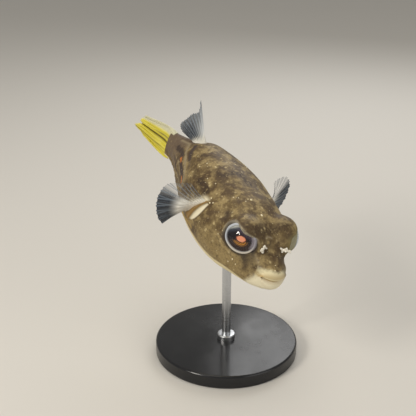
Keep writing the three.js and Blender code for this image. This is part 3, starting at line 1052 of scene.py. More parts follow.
@dataclass(frozen=True)
class PaleFlesh:
    """Pale flesh of the feelers: soft, moist and faintly uneven."""

    light: str = "#f3efe2"
    shade: str = "#b7ad96"
    flecks_per_metre: float = 900.0
    fleck_depth: float = 0.05

    def build(self) -> Material:
        """Makes the material.

        Returns:
            The material.
        """
        material, tree = new_material("feeler_pale_flesh")
        where = add_node(tree, "ShaderNodeTexCoord", {}, {}).outputs["Object"]
        noise = add_node(
            tree, "ShaderNodeTexNoise", {"Scale": self.flecks_per_metre, "Detail": 2.0}, {"Vector": where}
        ).outputs["Fac"]
        share = add_node(tree, "ShaderNodeMapRange", {1: 0.4, 2: 0.7, 3: 0.0, 4: 0.6}, {"Value": noise})
        colour = painted(tree, self.light, [(share.outputs[0], self.shade)])
        bump = add_node(
            tree, "ShaderNodeBump", {"Strength": 0.4, "Distance": self.fleck_depth * METRES},
            {"Height": noise},
        )
        flesh = add_node(
            tree, "ShaderNodeBsdfPrincipled",
            {"Roughness": 0.4, "IOR": 1.4, "Coat Weight": 0.2, "Coat Roughness": 0.2},
            {"Base Color": colour, "Normal": bump.outputs[0]},
        )
        add_node(tree, "ShaderNodeOutputMaterial", {}, {"Surface": flesh.outputs[0]})
        return material


@dataclass(frozen=True)
class CastAcrylic:
    """Black cast acrylic, turned and flame-polished: deep and glossy, with faint dust and smears."""

    colour: str = "#17181b"
    smear_size: float = 18.0
    roughness: Pair = (0.16, 0.3)

    def build(self) -> Material:
        """Makes the material.

        Returns:
            The material.
        """
        material, tree = new_material("black_cast_acrylic_polished")
        where = add_node(tree, "ShaderNodeTexCoord", {}, {}).outputs["Object"]
        smears = add_node(
            tree, "ShaderNodeTexNoise",
            {"Scale": 1 / (self.smear_size * METRES), "Detail": 4.0, "Roughness": 0.6}, {"Vector": where},
        ).outputs["Fac"]
        gloss = add_node(
            tree, "ShaderNodeMapRange", {1: 0.35, 2: 0.7, 3: self.roughness[0], 4: self.roughness[1]},
            {"Value": smears},
        )
        acrylic = add_node(
            tree, "ShaderNodeBsdfPrincipled", {"Base Color": linear(self.colour), "IOR": 1.49},
            {"Roughness": gloss.outputs[0]},
        )
        add_node(tree, "ShaderNodeOutputMaterial", {}, {"Surface": acrylic.outputs[0]})
        return material


@dataclass(frozen=True)
class BrushedSteel:
    """Stainless steel rod, brushed round its axis: fine rings that spread each highlight."""

    colour: str = "#c3c5c8"
    ring_gap: float = 0.5
    ring_depth: float = 0.02
    roughness: Pair = (0.24, 0.4)

    def build(self) -> Material:
        """Makes the material.

        Returns:
            The material.
        """
        material, tree = new_material("stainless_steel_brushed")
        where = add_node(tree, "ShaderNodeTexCoord", {}, {}).outputs["Object"]
        stretched = add_node(
            tree, "ShaderNodeMapping", {"Scale": (40, 40, 1 / (self.ring_gap * METRES))}, {"Vector": where}
        )
        rings = add_node(
            tree, "ShaderNodeTexNoise", {"Scale": 1.0, "Detail": 2.0}, {"Vector": stretched.outputs[0]}
        ).outputs["Fac"]
        gloss = add_node(
            tree, "ShaderNodeMapRange", {1: 0.3, 2: 0.7, 3: self.roughness[0], 4: self.roughness[1]},
            {"Value": rings},
        )
        bump = add_node(
            tree, "ShaderNodeBump", {"Strength": 0.15, "Distance": self.ring_depth * METRES},
            {"Height": rings},
        )
        steel = add_node(
            tree, "ShaderNodeBsdfPrincipled", {"Base Color": linear(self.colour), "Metallic": 1.0},
            {"Roughness": gloss.outputs[0], "Normal": bump.outputs[0]},
        )
        add_node(tree, "ShaderNodeOutputMaterial", {}, {"Surface": steel.outputs[0]})
        return material


# -------- the skin


@dataclass(frozen=True)
class Stroke:
    """Stroke of colour on the skin: mask it adds to, half width, strength, path and sides.

    Places of the path are a distance from the snout and degrees above the side; past 90 degrees
    the path goes on down the other side.
    """

    mask: str
    width: float
    strength: float
    path: tuple
    sides: tuple = BOTH

    def drawn(self, body: BodyShape, straight: Array, side: Side) -> Array:
        """Strength of the stroke at every skin point.

        Args:
            body: The body that it lies on.
            straight: Skin points with the tail straight.
            side: Side of the fish that the path starts on.

        Returns:
            The strengths.
        """
        knots = np.array(self.path, float)
        steps = np.linspace(0, len(knots) - 1, 1 + 8 * (len(knots) - 1))
        places = curve_through(knots, steps) if len(knots) > 1 else knots
        nearest = np.full(straight.shape[:-1], np.inf)
        for distance, rise in places:
            there = body.at(distance, rise, side, bent=False)
            nearest = np.minimum(nearest, np.linalg.norm(straight - there, axis=-1))
        return self.strength * hill(nearest, self.width)


@dataclass
class Skin:
    """One closed skin over the whole body, with its folds and the masks of its markings and of its painted
    shade and light.

    Places on it are a distance from the snout in millimetres and degrees above the side.
    """

    DRAWN = (
        "mouth", "stripe", "line", "orange", "yellow", "blotches", "pale", "grey", "brow_highlight_and_lid_line", "olive", "rim",
    )
    MASKS = ("belly", "cheek", "dusted", "lip", "cream", "gap_shade_and_gold_rim", "plum", *DRAWN)

    body: BodyShape
    pose: Pose
    row_gap: float = 0.32
    columns: int = 380
    tail_end_rows: int = 8
    tail_end_length: float = 1.3
    tail_end_inset: Pair = (0.9, 1.3)
    measuring_rows: int = 6000
    relief_rows: int = 6
    mouth_rows: int = 9
    eye_opening: float = 7.42
    lid: Triple = (-0.84, 0.542, 5.65)
    lid_softness: float = 2.4
    lid_lip: float = 0.22
    rim_radius: float = 7.95
    funnel: Pair = (0.1, 25.0)
    eye_reach: Pair = (11.0, 17.0)
    sunk: Pair = (2.0, 4.4)
    gill_edge: tuple[Pair, Pair] = ((39.4, 27.0), (45.2, -9.5))
    gill_lift: float = 0.5
    gill_groove: float = 0.9
    pectoral_pad: float = 1.1
    lip_rise: Pair = (0.15, 0.25)
    lip_groove: float = 0.4
    lip_creases: float = 0.03
    bend_creases: float = 0.16
    bend_crease_gap: float = 4.4
    first_bend_crease: float = 77.2
    nostril: Stroke = Stroke("nostril", 1.3, 0.5, ((9.5, 63.0),))
    midline_pads: tuple = (
        # height, half width, start, end, fade, whether it is on the back
        (1.7, 2.3, 79.6, 83.6, 2.4, True),
        (0.9, 1.4, 84.0, 87.5, 1.5, True),
        (1.0, 1.7, 79.8, 87.0, 1.6, False),
    )
    # Degrees above the side, and depth of each.
    flank_folds: tuple = ((26.0, 0.35), (-30.0, 0.45))
    # Distances from the snout, and degrees above the side at each.
    belly_edge: tuple = (
        (6, 11, 15, 20, 31, 40, 50, 60, 75, 100),
        (-54, -48, -38, -33, -32, -28, -25, -32, -40, -46),
    )
    # Degrees above the side, and distances from the snout at each.
    lip_ends: tuple = (
        (-90, -42, -28, -10, 0, 19, 44, 62, 76, 90),
        (11.5, 9.7, 7.7, 5.5, 4.6, 4.2, 3.6, 2.6, 1.8, 1.1),
    )
    strokes: tuple = (
        # Dark bars and patches on the back and the head.
        Stroke("blotches", 1.5, 0.6, ((67.2, 58.5), (64.5, 66.5), (62.5, 74.0))),
        Stroke(
            "blotches", 1.9, 0.75,
            ((49.7, 63.5), (47.7, 66.5), (47.4, 73.5), (47.9, 82.5), (46.7, 90.0),
             (41.7, 90.5), (39.8, 94.0)),
            RIGHT_ONLY,
        ),
        Stroke("blotches", 2.2, 0.9, ((52.4, 35.5), (48.2, 37.0), (44.7, 36.5))),
        Stroke("blotches", 2.0, 0.75, ((28.3, 40.0), (27.1, 33.0))),
        Stroke(
            "blotches", 3.2, 0.6,
            ((17.9, 49.5), (17.1, 54.0), (16.4, 62.0), (15.9, 79.0), (16.1, 91.5),
             (16.4, 103.5), (17.2, 118.5)),
            RIGHT_ONLY,
        ),
        Stroke("blotches", 2.8, 0.6, ((12.2, 9.0), (10.8, 5.0), (10.5, -2.5), (10.7, -8.0))),
        Stroke("blotches", 1.3, 0.6, ((25.2, 10.0), (23.6, 12.5))),
        Stroke("blotches", 1.8, 0.5, ((8.6, 50.0), (7.6, 62.0), (7.2, 80.0))),
        Stroke("blotches", 2.4, 0.6, ((80.0, 88.0), (83.5, 88.0))),
        Stroke("blotches", 2.6, 0.5, ((56.0, 30.0), (60.0, 36.0))),
        # Paler patches.
        Stroke("pale", 2.2, 0.7, ((16.7, 15.5), (15.4, 7.0), (14.7, -1.5))),
        Stroke("pale", 1.8, 0.6, ((13.1, 26.0), (10.0, 18.5), (7.6, 23.0))),
        Stroke("pale", 2.6, 0.5, ((25.0, -9.0), (20.9, -23.0))),
        Stroke("pale", 2.4, 0.8, ((28.5, 3.0), (24.3, -0.5), (21.0, -3.5), (18.0, -8.0))),
        Stroke("pale", 1.5, 0.65, ((27.5, 50.0), (24.8, 54.5), (25.5, 64.0))),
        Stroke("pale", 1.5, 0.7, ((18.4, 57.0), (18.6, 66.0), (19.2, 84.0))),
        Stroke("pale", 2.0, 0.6, ((55.0, 66.0), (58.0, 60.0), (60.0, 47.0))),
        Stroke("pale", 1.8, 0.6, ((43.0, 70.0), (43.5, 80.0), (43.0, 92.0)), RIGHT_ONLY),
        Stroke("pale", 1.5, 0.65, ((5.7, 37.0), (4.5, 48.0), (3.6, 64.0), (2.6, 80.0))),
        # Rear flank: dark stripes beside a pale line, and short pale dashes.
        Stroke("stripe", 1.6, 0.85, ((77.4, 61.5), (73.7, 43.0), (70.5, 34.0))),
        Stroke("stripe", 1.4, 0.5, ((70.5, 34.0), (65.0, 26.0), (60.9, 15.5), (59.7, 5.0))),
        Stroke(
            "stripe", 1.7, 1.0,
            ((90.0, 34.0), (83.0, 33.0), (78.8, 26.0), (74.3, 14.0), (68.9, 8.0), (65.0, 1.5)),
        ),
        Stroke("stripe", 1.2, 0.7, ((88.0, 6.0), (80.0, 0.0), (72.0, -4.0))),
        Stroke(
            "line", 0.75, 0.9,
            ((92.0, 66.0), (85.3, 63.5), (78.4, 39.5), (73.1, 27.0), (66.9, 16.5),
             (64.1, 7.5), (63.6, -2.5)),
        ),
        Stroke("line", 0.4, 0.8, ((79.9, 11.5), (74.5, 6.5), (70.8, 1.5))),
        Stroke("line", 0.35, 0.8, ((74.9, -4.5), (70.6, -7.0))),
        Stroke("orange", 0.55, 1.0, ((77.4, 21.8), (76.3, 20.0), (75.4, 17.5))),
        Stroke("orange", 0.55, 1.0, ((67.4, 4.0), (66.3, 2.5), (65.3, 0.5))),
        # Golden edge of the belly under the pectoral fin.
        Stroke("yellow", 0.9, 0.6, ((56.5, -27.0), (54.5, -25.0), (50.5, -21.5), (47.5, -19.2))),
        Stroke("yellow", 0.7, 0.4, ((63.0, -32.0), (57.5, -27.5), (47.0, -19.0), (43.0, -18.0))),
        # Painted shade on the left of the snout and under the left corner of the mouth, the mouth slit, and a
        # small ring on the brow.
        Stroke(
            "grey", 1.7, 0.75,
            ((6.8, 66.0), (4.8, 50.0), (2.9, 50.0), (2.6, 30.0), (3.0, 5.0)),
            LEFT_ONLY,
        ),
        Stroke("grey", 1.1, 0.6, ((2.4, -34.0), (1.4, -54.0)), LEFT_ONLY),
        Stroke("mouth", 0.8, 0.9, ((4.3, -3.0), (3.5, 3.0), (2.8, 22.0))),
        Stroke(
            "rim", 0.35, 0.55,
            ((12.6, 76.5), (12.9, 82.5), (12.1, 87.0), (11.2, 85.5), (11.2, 79.0),
             (11.9, 75.5), (12.6, 76.5)),
            RIGHT_ONLY,
        ),
        Stroke("line", 0.35, 0.9, ((13.5, 76.5), (13.8, 83.0), (13.3, 90.0)), RIGHT_ONLY),
    )

    def rows(self) -> Array:
        """Section rows of the skin, evenly spaced along it, with a rounded end at the tail.

        Returns:
            Rows of the section table.
        """
        numbers = np.linspace(0, self.body.last, self.measuring_rows)
        sections = self.body.section(numbers)
        travelled = np.zeros(len(numbers))
        for angle in (0.0, np.pi / 2, -np.pi / 2):
            line = self.body.surface(sections, np.full(len(numbers), angle))
            travelled[1:] += np.cumsum(np.linalg.norm(np.diff(line, axis=0), axis=1)) / 3
        count = int(travelled[-1] / self.row_gap)
        sections = self.body.section(np.interp(np.linspace(0, travelled[-1], count), travelled, numbers))
        turn = np.linspace(0, np.pi / 2, self.tail_end_rows + 1)[1:]
        end = np.repeat(sections[-1:], len(turn), 0)
        end[:, 0] += self.tail_end_length * np.sin(turn)
        inset, side_inset = self.tail_end_inset
        end[:, 2:4] -= (inset * (1 - np.cos(turn)))[:, None]
        end[:, 4] -= side_inset * (1 - np.cos(turn))
        return np.concatenate([sections, end])

    def along(self, line: tuple[Pair, Pair], s: Array, rise: Array) -> tuple[Array, Array]:
        """Coordinates relative to a slanting line down the flank.

        Args:
            line: Its upper and its lower end.
            s: Distances from the snout.
            rise: Degrees above the side.

        Returns:
            Share of the way down the line, and millimetres behind it.
        """
        top, bottom = line
        share = (top[1] - rise) / (top[1] - bottom[1])
        return share, s - (top[0] + (bottom[0] - top[0]) * np.clip(share, -0.2, 1.2))

    def relief(self, s: Array, rise: Array, side: Array, straight: Array) -> Array:
        """Height of the skin's folds above the plain body.

        Args:
            s: Distances from the snout.
            rise: Degrees above the side.
            side: Sign of each point's side.
            straight: Skin points with the tail straight.

        Returns:
            The heights, in millimetres.
        """
        height = np.zeros_like(s)
        # Gill cover: a thin raised flap with a groove behind it.
        share, behind = self.along(self.gill_edge, s, rise)
        fade = window(0.02, 0.98, 0.12, share)
        height += self.gill_lift * eased(-4.5, -0.6, behind) * (1 - eased(-0.15, 0.35, behind)) * fade
        height -= self.gill_groove * hill(behind - 0.95, 0.8) * fade
        # Fleshy pad at the root of the pectoral fin.
        share, behind = self.along(self.body.pectoral_root, s, rise)
        height += self.pectoral_pad * hill((behind - 0.5) * 0.78, 1.3) * window(0.05, 0.97, 0.12, share)
        # Pads under the dorsal and the anal fin.
        for lift, half, start, end, fade, on_back in self.midline_pads:
            place = window(start, end, fade, s) * ((rise > 0) == on_back)
            height += lift * hill(straight[..., 1], half) * place
        # Long folds above and below the middle of the rear flank.
        for middle, depth in self.flank_folds:
            line = middle + 8 * eased(88, 60, s)
            height += depth * hill(rise - line, 5.0) * window(58, 93, 6, s)
            height -= 0.7 * depth * hill(rise - line + 9, 5.0) * window(58, 93, 6, s)
        # Creases across the inner side of the tail's bend.
        crease = hill(np.mod(s - self.first_bend_crease + 1.2, self.bend_crease_gap) - 1.2, 0.5)
        height -= self.bend_creases * crease * window(78, 97, 3, s) * (side < 0) * window(-48, 48, 15, rise)
        # Lips: full, parted from the snout by a shallow groove and finely creased.
        lips = window(0.2, 3.6, 1.5, s)
        ring = np.arctan2(straight[..., 2] + 1.3, straight[..., 1])
        height += (self.lip_rise[0] + self.lip_rise[1] * eased(60, 20, rise)) * lips
        height -= self.lip_groove * hill(s - self.lip_edge(rise) - 0.6, 1.0) * window(-28, 45, 14, rise)
        height += self.lip_creases * np.sin(38 * ring + 3 * np.sin(5 * ring)) * lips
        # Nostrils: a low mound under each feeler.
        for one in self.nostril.sides:
            height += self.nostril.drawn(self.body, straight, one)
        return height

    def lip_edge(self, rise: Array) -> Array:
        """Distance from the snout at which the pale lips end."""
        return np.interp(rise, *self.lip_ends)

    def masks(self, s: Array, rise: Array, straight: Array) -> dict[str, Array]:
        """Masks of the markings and of the painted shade and light.

        Args:
            s: Distances from the snout.
            rise: Degrees above the side.
            straight: Skin points with the tail straight.

        Returns:
            Masks from 0 to 1, by name.
        """
        made = {name: np.zeros_like(s) for name in self.DRAWN}
        edge = np.interp(s, *self.belly_edge)
        made["belly"] = eased(edge + 5, edge - 7, rise)
        made["cheek"] = eased(22, -18, rise) * window(10, 34, 9, s) * 0.85
        made["dusted"] = eased(14, -8, rise) * window(10, 30, 8, s)
        made["lip"] = eased(2.4, -1.8, s - self.lip_edge(rise))
        made["plum"] = 0.7 * eased(68.0, 94.0, s) * eased(-35.0, -10.0, rise)
        # Cream edge of the gill cover and pad of the fin, and cream painted light on the lower lip, with
        # golden painted shade in the gap between flap and pad and a golden rim along the belly edge.
        share, behind = self.along(self.gill_edge, s, rise)
        width = 0.5 + 1.8 * np.sin(np.pi * np.clip(share, 0, 1) ** 1.2)
        fade = window(0.04, 0.96, 0.08, share)
        flap = eased(-width - 0.35, -width + 0.35, behind) * (1 - eased(-0.05, 0.35, behind)) * fade
        root_share, root_behind = self.along(self.body.pectoral_root, s, rise)
        rooted = eased(-1.0, -0.1, root_behind)
        pad = rooted * (1 - eased(0.6, 4.4, root_behind)) * window(0.02, 0.98, 0.3, root_share)
        # Painted light: the lower lip, which faces down, is painted whiter.
        lower_lip_painted_light = 0.8 * made["lip"] * eased(4, -14, rise)
        made["cream"] = np.clip(flap + pad + lower_lip_painted_light, 0, 1)
        # Golden painted shade in the gap between the gill cover's flap and the fin's pad.
        between = eased(0.0, 0.5, behind) * (1 - rooted) * window(0.0, 1.1, 0.1, share)
        rim = hill(rise - edge, 3.0) * window(38, 54, 4, s)
        made["gap_shade_and_gold_rim"] = np.clip(between + 0.7 * rim, 0, 1) * (1 - made["cream"])
        for stroke in self.strokes:
            for one in stroke.sides:
                made[stroke.mask] = np.maximum(made[stroke.mask], stroke.drawn(self.body, straight, one))
        made["stripe"] = made["stripe"] * (1 - 0.9 * np.clip(made["line"], 0, 1))
        return {name: np.clip(made[name], 0, 1) for name in self.MASKS}

    def eye_openings(self, points: Array, straight: Array, masks: dict[str, Array]) -> tuple[Array, Array]:
        """Draws the skin in to the rim of each eye, sinks it inside, and paints shade in the groove round it
        and a highlight above the right eye.

        Args:
            points: Skin points in the fish's frame.
            straight: The same points on the fish with a straight tail.
            masks: Masks of the markings, which get the painted shade of the groove and the painted highlight.

        Returns:
            The moved points and straight points.
        """
        for side in Side:
            socket = EyeSocket(side, self.body)
            away = socket.local(points)
            radius = np.linalg.norm(away, axis=-1)
            polar = np.degrees(np.arccos(np.clip(away[..., 2] / radius, -1, 1)))
            flat = unit(away[..., :2])
            towards_lid = np.maximum(flat @ np.array(self.lid[:2]), 0.05)
            soft = self.lid_softness
            reach = -np.logaddexp(-soft * self.eye_opening, -soft * self.lid[2] / towards_lid) / soft
            beyond = polar - np.degrees(np.arcsin(reach / self.rim_radius))
            near = 1 - eased(*self.eye_reach, radius)
            past = np.maximum(beyond, 0)
            most = self.rim_radius + self.funnel[0] * past + self.funnel[1] * (past / 45) ** 3
            drawn = radius + (np.minimum(radius, most) - radius) * near
            inside = eased(3.0, -2.5, beyond) * near
            open_part = near * eased(0.8, 0.3, towards_lid)
            lip = self.lid_lip * hill(beyond - 6.0, 3.5) * open_part
            sunk = self.sunk[0] + self.sunk[1] * eased(45.0, 72.0, polar)
            target = drawn + lip + (sunk - drawn) * inside
            move = (points - socket.centre()) * ((target - radius) / radius)[..., None]
            points, straight = points + move, straight + move
            # Painted shade in the groove just outside the rim of each eye.
            masks["rim"] = np.maximum(masks["rim"], hill(beyond - 0.5, 2.2) * open_part)
            if side is Side.RIGHT:
                # Right eye: a painted highlight on the skin above it, and a pale line along its lid.
                above = eased(0.2, 0.95, flat @ unit(np.array([-0.9, -0.42])))
                edge = 0.45 * eased(0.3, 0.8, towards_lid) * hill(beyond - 0.3, 1.8)
                brow_highlight_and_lid_line = np.maximum(0.5 * above * hill(beyond - 0.5, 3.6), edge) * near
                masks["brow_highlight_and_lid_line"] = np.maximum(masks["brow_highlight_and_lid_line"], brow_highlight_and_lid_line)
            else:
                masks["olive"] = np.maximum(masks["olive"], 0.5 * hill(beyond - 5.0, 10.0) * near)
        return points, straight

    def build(self, finish: PufferSkin) -> Object:
        """Makes the skin and hands it in.

        Args:
            finish: Its finish.

        Returns:
            The skin.
        """
        sections = self.rows()
        angle = np.arange(self.columns) * 2 * np.pi / self.columns
        grid = np.repeat(sections[:, None], self.columns, 1)
        round_body = np.repeat(angle[None], len(sections), 0)
        points = self.body.surface(grid, round_body)
        straight = self.body.surface(grid, round_body, bent=False)
        setback = grid[..., 5] * np.cos(round_body) ** 2
        s = grid[..., 0] + setback
        rise = np.degrees(np.arcsin(np.sin(round_body)))
        side = np.sign(np.cos(round_body))
        along = np.gradient(points, axis=0)
        across = np.roll(points, -1, 1) - np.roll(points, 1, 1)
        normal = unit(np.cross(across, along))
        beyond_edge = np.arange(len(sections))[:, None] - np.argmin(sections[:, 0])
        height = self.relief(s, rise, side, straight) * eased(0, self.relief_rows, beyond_edge)
        points = points + normal * height[..., None]
        masks = self.masks(s, rise, straight)
        around = 0.6 * eased(self.mouth_rows, 0, beyond_edge)
        mouth = np.where(beyond_edge < 0, eased(0.15, 0.8, s - setback), around)
        masks["mouth"] = np.maximum(masks["mouth"], mouth)
        points, straight = self.eye_openings(points, straight, masks)
        vertices, faces = closed_tube(points)
        ends = np.stack([straight[0].mean(0), straight[-1].mean(0)])
        attributes = {"fish_mm": np.concatenate([straight.reshape(-1, 3), ends])}
        for name, values in masks.items():
            attributes[name] = np.concatenate([values.ravel(), [values[0].mean(), values[-1].mean()]])
        piece = make_piece("skin", self.pose.place(vertices), faces, attributes)
        hand_in(piece, ["head", "trunk", "tail_stalk"], finish.build())
        return piece


@dataclass(frozen=True)
class WetPapilla:
    """Horny cream-coloured skin point, wet with slime: small, smooth and bright, so it glints."""

    light: str = "#efe3bd"
    shade: str = "#b39f6e"

    def build(self) -> Material:
        """Makes the material.

        Returns:
            The material.
        """
        material, tree = new_material("skin_point_wet")
        where = add_node(tree, "ShaderNodeTexCoord", {}, {}).outputs["Object"]
        noise = add_node(
            tree, "ShaderNodeTexNoise", {"Scale": 300.0, "Detail": 1.0}, {"Vector": where}
        ).outputs["Fac"]
        share = add_node(tree, "ShaderNodeMapRange", {1: 0.4, 2: 0.6, 3: 0.0, 4: 0.7}, {"Value": noise})
        colour = painted(tree, self.light, [(share.outputs[0], self.shade)])
        gloss = add_node(tree, "ShaderNodeMapRange", {3: 0.14, 4: 0.24}, {"Value": noise})
        point = add_node(
            tree, "ShaderNodeBsdfPrincipled", {"IOR": 1.5, "Coat Weight": 0.6, "Coat Roughness": 0.08},
            {"Base Color": colour, "Roughness": gloss.outputs[0]},
        )
        add_node(tree, "ShaderNodeOutputMaterial", {}, {"Surface": point.outputs[0]})
        return material


@dataclass
class Papillae:
    """Small hard points scattered over the head and the back, as low domes rooted in the skin.

    The larger ones are placed; the small ones are seeded. Lengths are in millimetres.
    """

    body: BodyShape
    columns: int
    placed: tuple = (
        # distance from the snout, degrees above the side, radius
        (21.7, 85.5, 0.55), (30.0, 82.0, 0.5), (26.5, 7.5, 0.36), (39.8, 36.0, 0.36), (38.6, 30.5, 0.36),
        (37.4, 34.5, 0.36), (17.4, -5.5, 0.36), (28.5, 9.5, 0.26), (30.8, 78.5, 0.26), (32.6, 67.0, 0.26),
        (33.7, 62.0, 0.26), (29.6, 74.0, 0.26), (23.9, 20.0, 0.26), (24.5, 5.0, 0.26), (18.9, -15.5, 0.26),
        (15.5, -11.5, 0.26), (4.1, 86.5, 0.22), (2.3, 81.0, 0.26), (50.1, 46.0, 0.26), (54.9, 65.5, 0.26),
        (68.0, 51.5, 0.26), (59.5, 57.5, 0.26), (60.2, 45.5, 0.26), (45.0, 52.0, 0.26),
    )
    single_above: float = 70.0
    scattered: int = 260
    region: Triple = (5.0, 74.0, -28.0)
    small: Pair = (0.07, 0.15)
    most_gap: float = 1.0
    lift: float = 0.55
    seed: int = 11
    patch: float = 0.003
    dome_columns: int = 12
    dome_rows: int = 7

    def spots(self, straight: Array) -> list[tuple[int, float]]:
        """Chooses where the points stand.

        Args:
            straight: Skin vertices of the fish with a straight tail.

        Returns:
            The skin vertex and the radius of each point.
        """
        rng = np.random.default_rng(self.seed)
        spots = []
        for distance, rise, radius in self.placed:
            for side in Side if rise < self.single_above else RIGHT_ONLY:
                target = self.body.at(distance, rise, side, bent=False)
                spots.append((int(np.argmin(np.linalg.norm(straight - target, axis=1))), radius))
        start, end, lowest = self.region
        total = len(spots) + self.scattered
        while len(spots) < total:
            distance = float(rng.uniform(start, end))
            rise = float(rng.uniform(lowest, 90.0))
            side = Side.LEFT if rng.random() < 0.5 else Side.RIGHT
            target = self.body.at(distance, rise, side, bent=False)
            gap = np.linalg.norm(straight - target, axis=1)
            nearest = int(np.argmin(gap))
            radius = float(rng.uniform(*self.small))
            if gap[nearest] < self.most_gap:
                spots.append((nearest, radius))
        return spots

    def dome(self) -> tuple[Array, list]:
        """Vertices and faces of one point, with radius 1."""
        height = np.linspace(-0.5, 0.97, self.dome_rows)
        return closed_tube(lathe(np.sqrt(1 - height**2), height, self.dome_columns))

    def build(self, skin: Object, finish: WetPapilla) -> None:
        """Makes the points and hands them in as one piece.

        Args:
            skin: The finished skin.
            finish: Their finish.
        """
        mesh = skin.data
        count = len(mesh.vertices)
        points, normals, straight = (np.empty(3 * count, np.float32) for _ in range(3))
        mesh.vertices.foreach_get("co", points)
        mesh.vertices.foreach_get("normal", normals)
        mesh.attributes["fish_mm"].data.foreach_get("vector", straight)
        points, normals, straight = (a.reshape(-1, 3) for a in (points, normals, straight))
        dome, dome_faces = self.dome()
        vertices, faces, places = [], [], []
        rows = count // self.columns
        for number, (nearest, radius) in enumerate(self.spots(straight)):
            up = normals[nearest]
            first = unit(np.cross(up, (0.3, 0.5, 0.8)))
            axes = np.stack([first, np.cross(up, first), up * self.lift])
            vertices.append(points[nearest] + dome @ axes * radius * METRES)
            faces += [[i + len(dome) * number for i in f] for f in dome_faces]
            root = np.array([nearest % self.columns / self.columns, nearest // self.columns / rows])
            places.append(root + dome[:, :2] * self.patch / 2)
        piece = make_piece("skin_points", np.concatenate(vertices), faces, {})
        flat = np.concatenate(places).astype(np.float32)
        corners = np.empty(len(piece.data.loops), np.int32)
        piece.data.loops.foreach_get("vertex_index", corners)
        layer = piece.data.uv_layers.new(name="OFBake")
        layer.data.foreach_set("uv", flat[corners].ravel())
        hand_in(piece, [], finish.build())


# -------- fins


@dataclass
class FanFin:
    """A fin of bony rays in thin skin, as one closed mesh; lengths in millimetres."""

    name: str
    slot: str
    pose: Pose
    rays: Array
    ray_count: int
    root_half: float = 0.9
    web_half: float = 0.05
    ray_half: float = 0.2
    ray_width: float = 0.17
    branch_from: float = 0.6
    scallop: float = 0.05
    ripple: float = 0.16
    columns_per_ray: int = 12
    steps: int = 56

    def closeness(self, u: Array, v: Array) -> Array:
        """How near each point is to a ray; each ray forks on its way out.

        Args:
            u: Share of the way across the fin.
            v: Share of the way from root to edge.

        Returns:
            Numbers from 0 between the rays to 1 on them.
        """
        gap = 1 / (self.ray_count - 1)
        fork = 0.2 * gap * eased(self.branch_from, 1.1, v)
        width = gap * self.ray_width * (1 - 0.5 * v)
        near = np.zeros_like(u)
        for i in range(self.ray_count):
            centre = 0.3 * gap + i * gap * (1 - 0.6 / (self.ray_count - 1))
            for turn in (-1, 1):
                near = np.maximum(near, hill(u - centre - turn * fork, width))
        return near

    def sheet(self) -> tuple[Array, Array, Array]:
        """Middle surface of the fin, and the two coordinates of each of its points.

        Returns:
            The points, and the share across and the share outwards of each.
        """
        columns = self.ray_count * self.columns_per_ray + 1
        u, v = np.meshgrid(np.linspace(0, 1, columns), np.linspace(0, 1, self.steps), indexing="ij")
        tip = self.closeness(u[:, -1], np.ones(columns))
        length = 1 - self.scallop * (1 - tip)
        fanned = curve_through(self.rays, u[:, 0] * (len(self.rays) - 1))
        points = np.stack(
            [curve_through(ray, v[0] * reach * (len(ray) - 1)) for ray, reach in zip(fanned, length)]
        )
        return points, u, v

    def build(self, material: Material, node: str, extra: dict) -> None:
        """Makes the fin and hands it in.

        Args:
            material: Its material.
            node: CAD node that it stands for.
            extra: Functions of the two coordinates that give more masks, by name.
        """
        points, u, v = self.sheet()
        normal = unit(np.cross(np.gradient(points, axis=0), np.gradient(points, axis=1)))
        near = self.closeness(u, v)
        wave = np.cos(2 * np.pi * u * (self.ray_count - 1)) * eased(0.1, 0.7, v)
        points = points + normal * (self.ripple * wave)[..., None]
        thin = 1 - 0.6 * v
        half = self.web_half + (self.ray_half * thin - self.web_half) * near
        half = half + (self.root_half - half) * (1 - eased(0.0, 0.3, v))
        half = half * (0.35 + 0.65 * np.sqrt(np.clip(np.minimum(u, 1 - u) * self.ray_count * 2.5, 0, 1)))
        front, back = points + normal * half[..., None], points - normal * half[..., None]
        rings = np.concatenate([front, back[::-1]]).transpose(1, 0, 2)
        rows, columns = rings.shape[:2]
        faces = [f for f in tube_faces(rows, columns) if max(f) < rows * columns]
        width = columns // 2
        for row, turn in ((0, 1), (rows - 1, -1)):
            for i in range(width - 1):
                a = row * columns + i
                b = row * columns + columns - 1 - i
                faces.append([a + 1, a, b, b - 1][::turn])
        values = {"ray": near, "reach": v}
        for name, function in extra.items():
            values[name] = function(u, v)
        attributes = {
            key: np.concatenate([value, value[::-1]]).T.ravel() for key, value in values.items()
        }
        streaked = np.stack([u * self.ray_count * 2, v * 1.2, np.zeros_like(u)], -1)
        both = np.concatenate([streaked, streaked[::-1]])
        attributes["fin_mm"] = both.transpose(1, 0, 2).reshape(-1, 3)
        piece = make_piece(self.name, self.pose.place(rings.reshape(-1, 3)), faces, attributes)
        hand_in(piece, [node], material)


